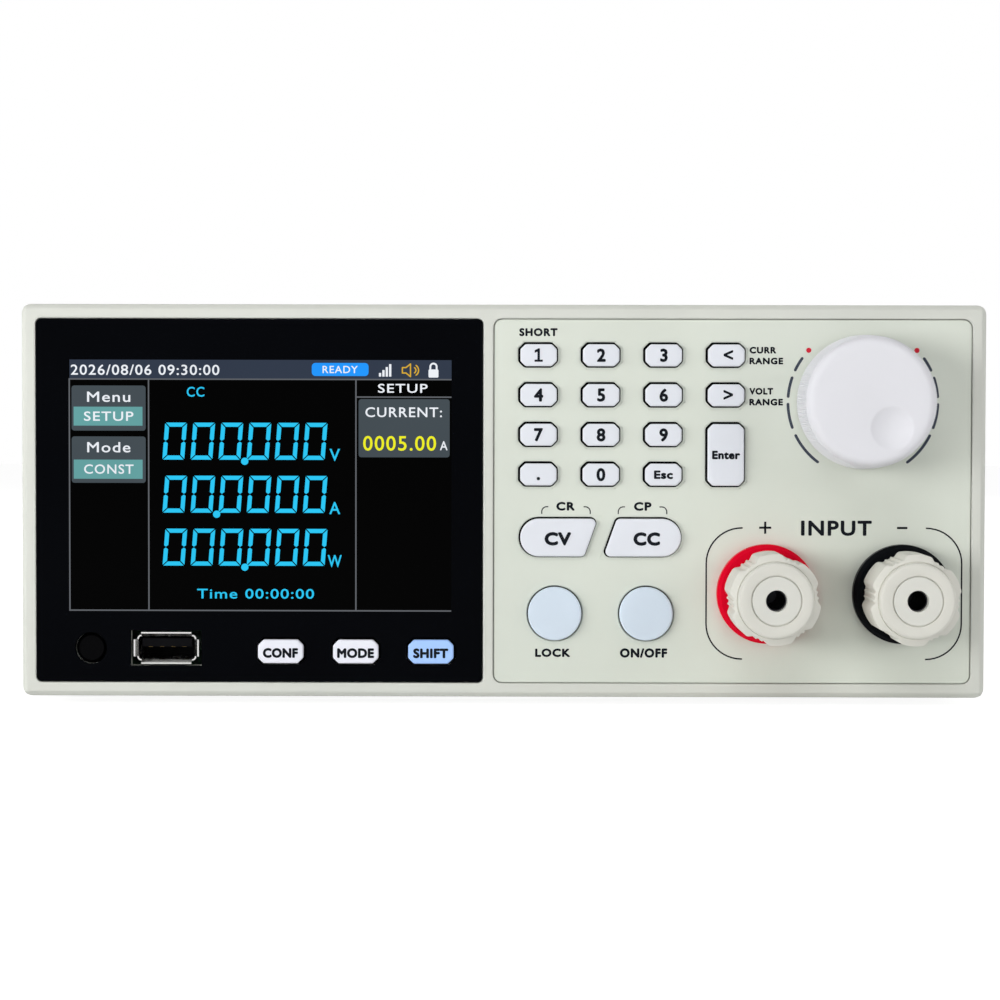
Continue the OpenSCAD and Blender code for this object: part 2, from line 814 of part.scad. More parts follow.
// Socket's folded shell with a lip on each side of its mouth
module usb_shell() {
    tube_front = usb_front - usb_lip_d;
    color([0.78, 0.79, 0.8]) on_panel(usb_x, port_z) {
        plate(tube_front, tube_front - board_front) difference() {
            rounded(usb_w + 2 * usb_sheet, usb_h + 2 * usb_sheet, usb_r + usb_sheet);
            rounded(usb_w, usb_h, usb_r);
        }
        for (a = [0, 180]) rotate(a) usb_lip(usb_h / 2, usb_lip_w);
        for (a = [90, 270]) rotate(a) usb_lip(usb_w / 2, usb_lip_h);
    }
}

module usb_tongue() {
    color([0.08, 0.08, 0.09]) on_panel(usb_x, port_z) {
        plate(board_front + usb_block_t, usb_block_t)
            rounded(usb_w - 2 * run_gap, usb_h - 2 * run_gap, usb_r);
        translate([0, usb_tongue_up, 0]) plate(usb_tongue_front, usb_tongue_front - board_front)
            square([usb_tongue_w, usb_tongue_t], center = true);
    }
}

// Rotary encoder: square body on the board, bush through the wall, chamber for the push plunger
module encoder_body() {
    color([0.55, 0.57, 0.6]) on_panel(dial_x, dial_z) difference() {
        union() {
            plate(encoder_front, encoder_t) square(encoder_w, center = true);
            pin(bush_d / 2, bush_front, encoder_front - overlap);
        }
        pin(shaft_r + run_gap, bush_front + overlap, chamber_front - overlap);
        pin(chamber_r + run_gap, chamber_front, chamber_front - chamber_l);
    }
}

module encoder_plunger() {
    color([0.2, 0.2, 0.22]) on_panel(dial_x, dial_z) pin(chamber_r, plunger_front, plunger_front - plunger_t);
}

module encoder_shaft() {
    color([0.7, 0.71, 0.73]) on_panel(dial_x, dial_z) pin(shaft_r, shaft_front, shaft_end);
}

// Knob: rounded front edge, a bore for the shaft and a finger dimple
module knob() {
    edge = knob_r - knob_round;
    shoulder = knob_front - knob_round;
    color([0.9, 0.9, 0.915]) on_panel(dial_x, dial_z) difference() {
        rotate_extrude() polygon(concat([[0, knob_back], [knob_r, knob_back]],
            [for (a = [0:15:90]) [edge + knob_round * cos(a), shoulder + knob_round * sin(a)]],
            [[0, knob_front]]));
        pin(shaft_r + fit_gap, shaft_front + 0.2, knob_back - overlap);
        rotate(dimple_turn) translate([dimple_off, 0, knob_front - dimple_deep + dimple_r]) rotate([90, 0, 0])
            sphere(dimple_r, $fn = 96);
    }
}

// Coloured collar that insulates a post from the front
module post_collar(x, tint) {
    back = wall_back + 0.1;
    rim = collar_d / 2;
    bore = stud_r + fit_gap;
    color(tint) on_panel(x, post_z) rotate_extrude()
        polygon([[bore, back], [neck_d / 2, back], [neck_d / 2, overlay_front], [rim, overlay_front],
            [rim, collar_front - collar_round], [rim - collar_round, collar_front], [bore, collar_front]]);
}

module post_studs() {
    color([0.83, 0.72, 0.42]) for (x = post_xs) on_panel(x, post_z) difference() {
        pin(stud_r, stud_front, stud_back);
        pin(socket_d / 2, stud_front + overlap, stud_front - socket_l);
    }
}

// Fixed insert on the stud's end, which keeps the cap from coming off
module post_inserts() {
    color([0.86, 0.855, 0.81]) for (x = post_xs) on_panel(x, post_z) difference() {
        pin(insert_d / 2, insert_front, stud_front);
        pin(insert_hole_d / 2, insert_front + overlap, stud_front - overlap);
    }
}

module post_nuts() {
    color([0.75, 0.76, 0.78]) for (x = post_xs, front = [wall_back, nut_two_front]) on_panel(x, post_z)
        difference() {
            translate([0, 0, front - nut_t]) cylinder(d = nut_af / cos(30), h = nut_t, $fn = 6);
            pin(stud_r + fit_gap, front + overlap, front - nut_t - overlap);
        }
}

// Pressure ring that rides in the back of the cap and clamps the wire
module post_ring(x) {
    color([0.8, 0.8, 0.82]) on_panel(x, post_z) difference() {
        pin(ring_r, ring_back + ring_t, ring_back);
        pin(stud_r + 3 * run_gap, ring_back + ring_t + overlap, ring_back - overlap);
    }
}

// Section of the cap's grip: broad lobes, and a pair of ribs in each valley between them
module grip_section() {
    lobe = cap_d / 2;
    valley = lobe - valley_deep;
    circle(valley);
    for (i = [0:lobes - 1]) rotate(i * 360 / lobes) {
        polygon([[0, -lobe_root / 2], [valley, -lobe_root / 2], [lobe, -lobe_tip / 2], [lobe, lobe_tip / 2],
            [valley, lobe_root / 2], [0, lobe_root / 2]]);
        rotate(180 / lobes) for (y = [-rib_off, rib_off])
            translate([0, y - rib_w / 2]) square([valley + rib_h, rib_w]);
    }
}

// Screw-down cap: plain heel, lobed grip and a rounded nose
module post_cap(x, turn) {
    lobe = cap_d / 2;
    nose = nose_d / 2;
    color([0.86, 0.855, 0.81]) on_panel(x, post_z) rotate(turn) difference() {
        union() {
            pin(lobe - valley_deep - heel_step, grip_back + overlap, cap_back);
            intersection() {
                plate(nose_back, nose_back - grip_back) grip_section();
                rotate_extrude()
                    polygon([[0, grip_back], [lobe, grip_back], [lobe - lobe_draft, nose_back - shoulder_l],
                        [nose + nose_step, nose_back], [0, nose_back]]);
            }
            rotate_extrude() polygon([[0, nose_back - overlap], [nose, nose_back - overlap],
                [nose, cap_out - nose_round], [nose - nose_round, cap_out], [0, cap_out]]);
        }
        pin(insert_d / 2 + well_gap, cap_out + overlap, cap_well);
        pin(stud_r + run_gap, cap_well + overlap, ring_pocket - overlap);
        pin(ring_r + ring_gap, ring_pocket, cap_back - overlap);
    }
}

// Bottom tray with a front wall behind the moulding and low side walls
module chassis() {
    half = tray_w / 2;
    color([0.72, 0.73, 0.74]) in_case() difference() {
        union() {
            block([-half, skirt_d, foot_h], [half, body_d, floor_top]);
            block([-half, skirt_d, foot_h], [half, skirt_d + sheet, wall_top]);
            for (x = [-half, half - sheet])
                block([x, tray_side_y, foot_h], [x + sheet, rear_inner - 14, foot_h + tray_side_h]);
        }
        // Room for the posts' busbars and for the ribbon cable
        block([post_side, skirt_d - overlap, floor_top + 1],
            [overlay_rt - 6, skirt_d + sheet + overlap, panel_z + post_z + 16]);
        block([ribbon_x - ribbon_w / 2 - 4, skirt_d - overlap, ribbon_z - 8],
            [ribbon_x + ribbon_w / 2 + 4, skirt_d + sheet + overlap, ribbon_z + 8]);
        for (p = PILLARS) translate([p[0], 0, panel_z + p[1]])
            long_pin(screw_r + screw_gap, skirt_d - overlap, skirt_d + sheet + overlap);
        for (f = feet_places) translate([f[0], f[1], foot_h - overlap])
            cylinder(r = screw_r + screw_gap, h = sheet + 2 * overlap);
        for (y = side_screw_ys, x = [-1, 1]) translate([x * half, y, side_screw_z]) rotate([0, 90, 0])
            cylinder(r = screw_r + screw_gap, h = 4 * sheet, center = true);
    }
}

// Inverted U cover with two rows of vent slots in each side
module top_cover() {
    high = case_top - cover_low;
    color([0.79, 0.795, 0.78]) in_case() difference() {
        translate([0, body_d, 0]) rotate([90, 0, 0]) linear_extrude(body_d - skirt_d) difference() {
            union() {
                translate([0, case_top - high / 2]) rounded(case_w, high, cover_r);
                translate([-case_w / 2, cover_low]) square([case_w, high / 2]);
            }
            translate([sheet - case_w / 2, cover_low - overlap])
                square([case_w - 2 * sheet, high - sheet + overlap]);
        }
        for (i = [0:vent_count - 1], z = vent_rows, x = [-1, 1])
            translate([x * case_w / 2, vent_y + i * vent_pitch, z])
                cube([4 * sheet, vent_w, vent_h], center = true);
        for (y = side_screw_ys, x = [-1, 1]) translate([x * case_w / 2, y, side_screw_z]) rotate([0, 90, 0])
            cylinder(r = screw_r + screw_gap, h = 4 * sheet, center = true);
    }
}

// Outline of the punched fan grille: rings of slots between four webs
module grille_slots() {
    difference() {
        for (i = [0:grille_rings - 1]) difference() {
            circle(fan_bore_r - i * grille_pitch);
            circle(fan_bore_r - i * grille_pitch - grille_slot);
        }
        for (a = [45, 135]) rotate(a) square([2 * fan_w, grille_web], center = true);
    }
}

// Places of the fan's four screws
module fan_corners() {
    for (x = [-1, 1], z = [-1, 1]) translate([fan_x + x * fan_hole, 0, fan_z + z * fan_hole]) children();
}

// Places of the inlet's two screws
module inlet_screws() {
    for (x = [-1, 1]) translate([-inlet_x + x * inlet_hole, 0, inlet_z]) children();
}

// A plate of the case's rear, from one depth to another, drawn looking along +Y
module rear_plate(y0, y1) {
    translate([0, y1, 0]) rotate([90, 0, 0]) linear_extrude(y1 - y0) children();
}

module rear_panel() {
    half = tray_w / 2 - case_fit;
    side = half - sheet - case_fit;
    color([0.74, 0.75, 0.75]) in_case() difference() {
        union() {
            block([-half, rear_inner, floor_top], [half, body_d, wall_top]);
            for (x = [-side, side - sheet])
                block([x, rear_inner - rear_flange, floor_top + rear_lift],
                    [x + sheet, body_d - rear_t / 2, wall_top]);
        }
        rear_plate(rear_inner - overlap, body_d + overlap) {
            translate([fan_x, fan_z]) grille_slots();
            translate([-inlet_x, inlet_z]) square([inlet_w + port_fit, inlet_h + port_fit], center = true);
            translate([port_x, serial_z]) square([serial_w + port_fit, serial_h + port_fit], center = true);
            translate([port_x, square_z]) square([square_w + port_fit, square_h + port_fit], center = true);
            translate([port_x, terminal_z])
                square([terminal_w + port_fit, terminal_h + port_fit], center = true);
        }
        fan_corners() long_pin(screw_r + screw_gap, rear_inner - overlap, body_d + overlap);
        inlet_screws() long_pin(screw_r + screw_gap, rear_inner - overlap, body_d + overlap);
    }
}

module feet() {
    rim = foot_d / 2;
    color([0.1, 0.1, 0.105]) in_case() for (f = feet_places) translate([f[0], f[1], 0]) rotate_extrude()
        polygon([[foot_screw_r, 0], [rim - 1.4, 0], [rim - 0.8, 0.6], [rim, foot_h],
            [screw_r + screw_gap, foot_h], [screw_r + screw_gap, foot_screw_deep],
            [foot_screw_r, foot_screw_deep]]);
}

// A pan-head screw, its head's seat at the origin and its shank along -z
module screw(bite) {
    cylinder(r1 = screw_head_r, r2 = screw_head_r - 0.7, h = screw_head_t);
    translate([0, 0, -bite]) cylinder(r = screw_r, h = bite + screw_head_t / 2);
}

module screws() {
    color([0.62, 0.63, 0.65]) {
        for (b = BOSSES) on_panel() translate([b[0], b[1], board_back]) rotate([180, 0, 0]) screw(screw_bite);
        in_case() {
            for (p = PILLARS) translate([p[0], skirt_d + sheet, panel_z + p[1]]) rotate([-90, 0, 0])
                screw(screw_bite);
            for (f = feet_places) translate([f[0], f[1], foot_screw_deep]) rotate([180, 0, 0])
                screw(screw_bite);
            for (y = side_screw_ys, x = [-1, 1]) translate([x * case_w / 2, y, side_screw_z])
                rotate([0, x * 90, 0]) screw(screw_bite);
            fan_corners() translate([0, body_d, 0]) rotate([-90, 0, 0]) screw(screw_bite);
            inlet_screws() translate([0, body_d + inlet_rim_t, 0]) rotate([-90, 0, 0])
                screw(screw_bite + inlet_rim_t);
        }
    }
}

// Fan housing: square frame, round bore, and a hub on four struts with the rotor's bearing
module fan_frame() {
    color([0.12, 0.12, 0.13]) in_case() translate([fan_x, 0, fan_z]) {
        difference() {
            rear_plate(fan_front, rear_inner) rounded(fan_w, fan_w, 4);
            long_pin(fan_bore_r, fan_front - overlap, rear_inner + overlap);
            for (x = [-1, 1], z = [-1, 1]) translate([x * fan_hole, 0, z * fan_hole])
                long_pin(fan_hole_r, fan_front - overlap, rear_inner + overlap);
        }
        difference() {
            union() {
                long_pin(fan_hub_r, fan_front, fan_front + fan_hub_t);
                for (a = [0, 90]) rotate([0, a, 0])
                    block([-fan_bore_r - overlap, fan_front, -2], [fan_bore_r + overlap, fan_front + 4, 2]);
            }
            long_pin(rotor_pin_r + run_gap, fan_front + 1, fan_front + fan_hub_t + overlap);
        }
    }
}

// Fan wheel: cup hub, curved blades and the pin that turns in the housing
module fan_rotor() {
    long = rotor_back - rotor_front;
    chord = rotor_tip_r - rotor_hub_r + 2;
    color([0.16, 0.16, 0.17]) in_case() translate([fan_x, 0, fan_z]) {
        long_pin(rotor_hub_r, rotor_front, rotor_back);
        long_pin(rotor_pin_r, rotor_front - rotor_pin_l, rotor_front + overlap);
        for (i = [0:fan_blades - 1]) translate([0, rotor_front + 1, 0]) rotate([-90, 0, 0])
            rotate(i * 360 / fan_blades) linear_extrude(long - 2, twist = blade_twist, slices = 5, $fn = 8)
                translate([rotor_hub_r - 2, -blade_t / 2]) square([chord, blade_t]);
    }
}

// Outline of the inlet's socket: two corners cut off
module inlet_mouth() {
    w = mouth_w / 2;
    h = mouth_h / 2;
    polygon([[-w, -h], [w, -h], [w, h - mouth_cut], [w - mouth_cut, h], [mouth_cut - w, h],
        [-w, h - mouth_cut]]);
}

// Outline of the inlet's rim, with a screw ear on each side
module inlet_rim_outline() {
    square([inlet_w + 2 * inlet_rim, inlet_h + 2 * inlet_rim], center = true);
    square([2 * inlet_hole, 2 * inlet_ear_r], center = true);
    for (x = [-1, 1]) translate([x * inlet_hole, 0]) circle(inlet_ear_r);
}

// Mains inlet: rimmed body with a three-pin socket and a pocket for the fuse drawer
module mains_inlet() {
    rim_back = body_d + inlet_rim_t;
    floor_y = rim_back - mouth_deep;
    color([0.07, 0.07, 0.075]) in_case() translate([-inlet_x, 0, inlet_z]) {
        difference() {
            union() {
                rear_plate(body_d, rim_back) inlet_rim_outline();
                rear_plate(rim_back - inlet_l, body_d + overlap) square([inlet_w, inlet_h], center = true);
            }
            translate([0, 0, mouth_up]) rear_plate(floor_y, rim_back + overlap) inlet_mouth();
            translate([0, 0, -drawer_down]) rear_plate(rim_back - drawer_l - 0.5, rim_back + overlap)
                square([drawer_w, drawer_h], center = true);
            for (x = [-1, 1]) translate([x * inlet_hole, 0, 0])
                long_pin(screw_r + screw_gap, body_d - overlap, rim_back + overlap);
        }
        for (p = [[-7, -2], [7, -2], [0, 2]]) translate([p[0], 0, mouth_up + p[1]])
            rear_plate(floor_y - overlap, floor_y + pin_l) square([2, 4], center = true);
    }
}

// Drawer with the fuse trough and a finger lip
module fuse_drawer() {
    rim_back = body_d + inlet_rim_t;
    w = drawer_w - 2 * drawer_gap;
    h = drawer_h - 2 * drawer_gap;
    color([0.09, 0.09, 0.095]) in_case() translate([-inlet_x, 0, inlet_z - drawer_down]) difference() {
        union() {
            rear_plate(rim_back - drawer_l, rim_back + overlap) square([w, h], center = true);
            rear_plate(rim_back + drawer_gap, rim_back + drawer_gap + drawer_face_t)
                square([drawer_w + 2 * drawer_lip, drawer_h + 2 * drawer_lip], center = true);
        }
        block([trough_wall - w / 2, rim_back - drawer_l + trough_wall, trough_wall - h / 2],
            [w / 2 - trough_wall, rim_back - trough_wall, h / 2 + overlap]);
    }
}

// Serial port's outline: a flat D
module serial_outline(w, h) {
    polygon([[-w / 2, h / 2], [w / 2, h / 2], [w / 2 - serial_slope, -h / 2],
        [serial_slope - w / 2, -h / 2]]);
}

// Serial port with its pins, square data socket with its tongue, and the screw terminals for remote sensing
module interface_ports() {
    deep = rear_inner - port_deep;
    in_case() {
        color([0.75, 0.76, 0.78]) translate([port_x, 0, serial_z]) {
            rear_plate(rear_inner - 1, rear_inner) square([serial_plate_w, serial_plate_h], center = true);
            difference() {
                rear_plate(rear_inner - overlap, body_d + port_out) serial_outline(serial_w, serial_h);
                rear_plate(body_d + port_floor, body_d + port_out + overlap)
                    serial_outline(serial_w - 2 * serial_wall, serial_h - 2 * serial_wall);
            }
            rear_plate(deep, rear_inner - overlap) square([serial_w, serial_h], center = true);
            for (p = SERIAL_PINS) translate([p[0], 0, p[1]])
                long_pin(serial_pin_r, body_d, body_d + port_out - 1);
        }
        color([0.72, 0.73, 0.75]) translate([port_x, 0, square_z]) {
            difference() {
                rear_plate(deep, body_d + port_floor) square([square_w, square_h], center = true);
                rear_plate(deep + 4, body_d + port_floor + overlap)
                    square([square_w - 2 * square_wall, square_h - 2 * square_wall], center = true);
            }
            rear_plate(deep + 4 - overlap, body_d - 1) square(square_tongue, center = true);
        }
        color([0.1, 0.45, 0.25]) translate([port_x, 0, terminal_z]) difference() {
            rear_plate(deep, body_d + terminal_out) square([terminal_w, terminal_h], center = true);
            for (i = [0:terminal_ways - 1])
                translate([(i - (terminal_ways - 1) / 2) * terminal_w / terminal_ways, 0, 0])
                    rear_plate(body_d - 4, body_d + terminal_out + overlap)
                        square(terminal_hole, center = true);
        }
    }
}

// Power board on the case's floor, with its standoffs, capacitors, relay and shunt
module main_board() {
    half = main_w / 2;
    seat = main_top - part_seat;
    in_edge = board_foot_in;
    color([0.09, 0.3, 0.2]) in_case() {
        translate([0, 0, main_top - board_t]) linear_extrude(board_t)
            polygon([[-half, main_front], [half, main_front], [half, main_break], [main_half_r, main_break],
                [main_half_r, main_back], [-half, main_back]]);
        for (x = [in_edge - half, main_half_r - in_edge], y = [main_front + in_edge, main_back - in_edge])
            translate([x, y, floor_top]) cylinder(r = board_foot_r, h = standoff_h);
        translate([half - in_edge, main_front + in_edge, floor_top])
            cylinder(r = board_foot_r, h = standoff_h);
        for (i = [1:3]) translate([i * can_pitch - half, main_break + can_back, seat])
            cylinder(r = can_r, h = can_h);
        block([relay_x - relay_w / 2, relay_y - relay_d / 2, seat],
            [relay_x + relay_w / 2, relay_y + relay_d / 2, main_top + relay_h]);
        block([post_plus_x - lug_w / 2, shunt_y - shunt_d / 2, seat],
            [post_minus_x + lug_w / 2, shunt_y + shunt_d / 2, main_top + shunt_h]);
    }
}

// Finned heat sink that stands on the case's floor in front of the fan
module heat_sink() {
    pitch = (sink_top - sink_low - fin_t) / (fin_count - 1);
    color([0.66, 0.67, 0.69]) in_case() {
        block([sink_x, sink_front, floor_top], [sink_x + sink_base_t, sink_front + sink_l, sink_top]);
        for (i = [0:fin_count - 1]) block([sink_x + sink_base_t - overlap, sink_front, sink_low + i * pitch],
            [sink_x + sink_w, sink_front + sink_l, sink_low + i * pitch + fin_t]);
    }
}

// Power transistors on the heat sink's base
module power_transistors() {
    step = sink_l / power_count;
    low = (sink_low + sink_top - power_h) / 2;
    color([0.08, 0.08, 0.085]) in_case() for (i = [0:power_count - 1])
        translate([sink_x - power_t, sink_front + (i + 0.5) * step - power_w / 2, low])
            cube([power_t, power_w, power_h]);
}

// Transformer of the auxiliary supply, with its coil round the core's middle leg
module aux_supply() {
    window_h = core_h - 2 * core_rim;
    color([0.35, 0.33, 0.3]) in_case() translate([aux_x, aux_y, main_top]) {
        rear_plate(-core_d / 2, core_d / 2) difference() {
            translate([-core_w / 2, 0]) square([core_w, core_h]);
            for (x = [-1, 1]) translate([x * (core_w - 2 * core_rim + core_leg) / 4, core_h / 2])
                square([(core_w - 2 * core_rim - core_leg) / 2, window_h], center = true);
        }
        translate([0, 0, core_h / 2]) linear_extrude(coil_h, center = true)
            square([coil_w, coil_l], center = true);
    }
}

// Copper bars from the posts to the power board
module input_busbars() {
    color([0.78, 0.5, 0.32]) for (x = post_xs) {
        on_panel(x, 0) plate(lug_front, lug_t) difference() {
            union() {
                translate([0, post_z]) circle(lug_w / 2);
                translate([-lug_w / 2, main_top - panel_z]) square([lug_w, post_z + panel_z - main_top]);
            }
            translate([0, post_z]) circle(stud_r + fit_gap);
        }
        in_case() translate([x, 0, 0])
            block([-lug_w / 2, -lug_front, main_top], [lug_w / 2, bar_back, main_top + lug_t]);
    }
}

// Ribbon cable from the front board to the main board
module ribbon_cable() {
    color([0.6, 0.61, 0.63]) in_case() translate([ribbon_x - ribbon_w / 2, 0, 0]) {
        block([0, -board_back, ribbon_z], [ribbon_w, ribbon_back, ribbon_z + ribbon_t]);
        block([0, ribbon_back - ribbon_t, main_top], [ribbon_w, ribbon_back, ribbon_z + ribbon_t]);
    }
}

front_bezel();
keypad_overlay();
display_window();
lcd_module();
front_board();
switch_bodies();
power_button();
usb_shell();
usb_tongue();
encoder_body();
encoder_plunger();
encoder_shaft();
knob();
post_collar(post_plus_x, [0.8, 0.09, 0.18]);  // post_collar_plus
post_collar(post_minus_x, [0.05, 0.055, 0.07]);  // post_collar_minus
post_studs();
post_inserts();
post_nuts();
post_ring(post_plus_x);  // post_ring_plus
post_ring(post_minus_x);  // post_ring_minus
post_cap(post_plus_x, lobe_turn_plus);  // post_cap_plus
post_cap(post_minus_x, lobe_turn_minus);  // post_cap_minus
chassis();
top_cover();
rear_panel();
feet();
screws();
fan_frame();
fan_rotor();
mains_inlet();
fuse_drawer();
interface_ports();
main_board();
heat_sink();
power_transistors();
aux_supply();
input_busbars();
ribbon_cable();
for (k = KEYS) key(k);
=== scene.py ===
import math

import bmesh
import bpy
from mathutils import Euler, Matrix, Vector


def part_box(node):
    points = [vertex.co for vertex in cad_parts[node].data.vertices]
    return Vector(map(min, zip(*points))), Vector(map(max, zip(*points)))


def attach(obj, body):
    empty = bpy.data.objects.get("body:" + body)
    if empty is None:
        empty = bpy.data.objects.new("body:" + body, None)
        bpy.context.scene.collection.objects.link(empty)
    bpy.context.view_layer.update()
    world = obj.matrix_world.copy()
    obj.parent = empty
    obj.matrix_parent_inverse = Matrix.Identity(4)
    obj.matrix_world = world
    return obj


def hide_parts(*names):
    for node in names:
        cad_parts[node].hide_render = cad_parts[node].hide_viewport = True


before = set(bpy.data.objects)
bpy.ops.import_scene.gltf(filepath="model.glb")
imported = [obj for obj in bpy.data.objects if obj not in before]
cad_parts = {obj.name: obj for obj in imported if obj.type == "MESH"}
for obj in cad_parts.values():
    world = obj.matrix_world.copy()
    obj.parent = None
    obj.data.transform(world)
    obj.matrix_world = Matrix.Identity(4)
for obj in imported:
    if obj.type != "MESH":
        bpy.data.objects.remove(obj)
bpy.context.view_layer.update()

mm = 0.001
bezelLow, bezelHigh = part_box("front_bezel")
faceY = bezelLow.y  # plane of the moulding's face; the front looks along -Y
panelMid = (bezelLow + bezelHigh) / 2
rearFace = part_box("rear_panel")[1].y
forward, rearward = Vector((0, -1, 0)), Vector((0, 1, 0))


# Places are in millimetres. On the front: right and up from its middle, and out of its face
def panelPoint(x, z, out):
    return Vector((panelMid.x + x * mm, faceY - out * mm, panelMid.z + z * mm))


def rearPoint(x, z, out):  # on the rear: across, up from the floor, and out of the rear panel
    return Vector((x * mm, rearFace + out * mm, z * mm))


def stampPoint(x, y, out):  # on a stamp, before it is put in its places
    return Vector((x, y, out)) * mm


def panelBox(node):
    low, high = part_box(node)
    left, right = ((p.x - panelMid.x) / mm for p in (low, high))
    bottom, top = ((p.z - panelMid.z) / mm for p in (low, high))
    return dict(left=left, right=right, bottom=bottom, top=top, x=(left + right) / 2, z=(bottom + top) / 2,
                front=(faceY - low.y) / mm, back=(faceY - high.y) / mm)


# Nodes and finishes

def setSockets(tree, node, sockets):  # a socket takes a value or a link; a node stands for its first output
    for name, value in sockets.items():
        if isinstance(value, bpy.types.Node):
            value = value.outputs[0]
        if isinstance(value, bpy.types.NodeSocket):
            tree.links.new(value, node.inputs[name])
        else:
            node.inputs[name].default_value = value


def addNode(tree, kind, sockets=None, **settings):
    node = tree.nodes.new(kind)
    for name, value in settings.items():
        setattr(node, name, value)
    setSockets(tree, node, sockets or {})
    return node


def screenColour(red, green, blue):  # 0 to 255 as a picture shows it, to Blender's linear colour
    shares = [v / 255 for v in (red, green, blue)]
    return (*[v / 12.92 if v <= 0.04045 else ((v + 0.055) / 1.055) ** 2.4 for v in shares], 1.0)


def setShader(material, sockets):
    setSockets(material.node_tree, material.node_tree.nodes["Principled BSDF"], sockets)


def newFinish(name, colour, roughness=0.5, metallic=0.0, specular=0.5):
    material = bpy.data.materials.new(name)
    material.use_nodes = True
    setShader(material, {"Base Color": screenColour(*colour), "Roughness": roughness, "Metallic": metallic,
                         "Specular IOR Level": specular})
    material.diffuse_color = screenColour(*colour)
    return material


def setGlow(material, colour, strength):
    setShader(material, {"Emission Color": screenColour(*colour), "Emission Strength": strength})


def surfacePlace(tree, stretch=(1, 1, 1)):
    coords = addNode(tree, "ShaderNodeTexCoord")
    return addNode(tree, "ShaderNodeMapping", {"Vector": coords.outputs["Object"], "Scale": stretch})


def spots(material, size, detail=2.0, stretch=(1, 1, 1)):  # cloudy spots of about this many millimetres
    tree = material.node_tree
    noise = addNode(tree, "ShaderNodeTexNoise", {
        "Vector": surfacePlace(tree, stretch), "Scale": 1 / (size * mm), "Detail": detail})
    return noise.outputs["Fac"]


def crystals(material, size):  # flat patches, as on zinc
    tree = material.node_tree
    cells = addNode(tree, "ShaderNodeTexVoronoi", {"Vector": surfacePlace(tree), "Scale": 1 / (size * mm)})
    return addNode(tree, "ShaderNodeSeparateColor", {"Color": cells.outputs["Color"]}).outputs["Red"]


def stripes(material, pitch, axis, wander=0.0):  # straight bands across one axis
    tree = material.node_tree
    wave = addNode(tree, "ShaderNodeTexWave", {
        "Vector": surfacePlace(tree), "Scale": 2 * math.pi / (20 * pitch * mm), "Distortion": wander},
        bands_direction=axis)
    return wave.outputs["Fac"]


midSpan = (0.3, 0.7)  # the part of a cloudy pattern's range that holds most of it


def varyColour(material, pattern, amount, socket="Base Color", span=midSpan):
    tree = material.node_tree
    base = tree.nodes["Principled BSDF"].inputs[socket].default_value[:3]
    ramp = addNode(tree, "ShaderNodeValToRGB", {"Fac": pattern})
    for stop, place, share in zip(ramp.color_ramp.elements, span, (1 - amount, 1 + amount)):
        stop.position = place
        stop.color = (*[min(1.0, v * share) for v in base], 1)
    setShader(material, {socket: ramp})


def varyRoughness(material, pattern, smooth, dull):
    spread = addNode(material.node_tree, "ShaderNodeMapRange", {
        "Value": pattern, "From Min": midSpan[0], "From Max": midSpan[1], "To Min": smooth, "To Max": dull})
    setShader(material, {"Roughness": spread})


def addRelief(material, pattern, depth, edge=0.0):  # relief in millimetres, over edges rounded by edge
    tree = material.node_tree
    bump = addNode(tree, "ShaderNodeBump", {"Height": pattern, "Strength": 1.0, "Distance": depth * mm})
    if edge:
        setSockets(tree, bump, {"Normal": addNode(tree, "ShaderNodeBevel", {"Radius": edge * mm}, samples=6)})
    setShader(material, {"Normal": bump})


def dress(material, tone, drift, wear, rough, relief, depth, edge=0.0, span=midSpan):
    varyColour(material, tone, drift, span=span)
    varyRoughness(material, wear, *rough)
    addRelief(material, relief, depth, edge)
    return material


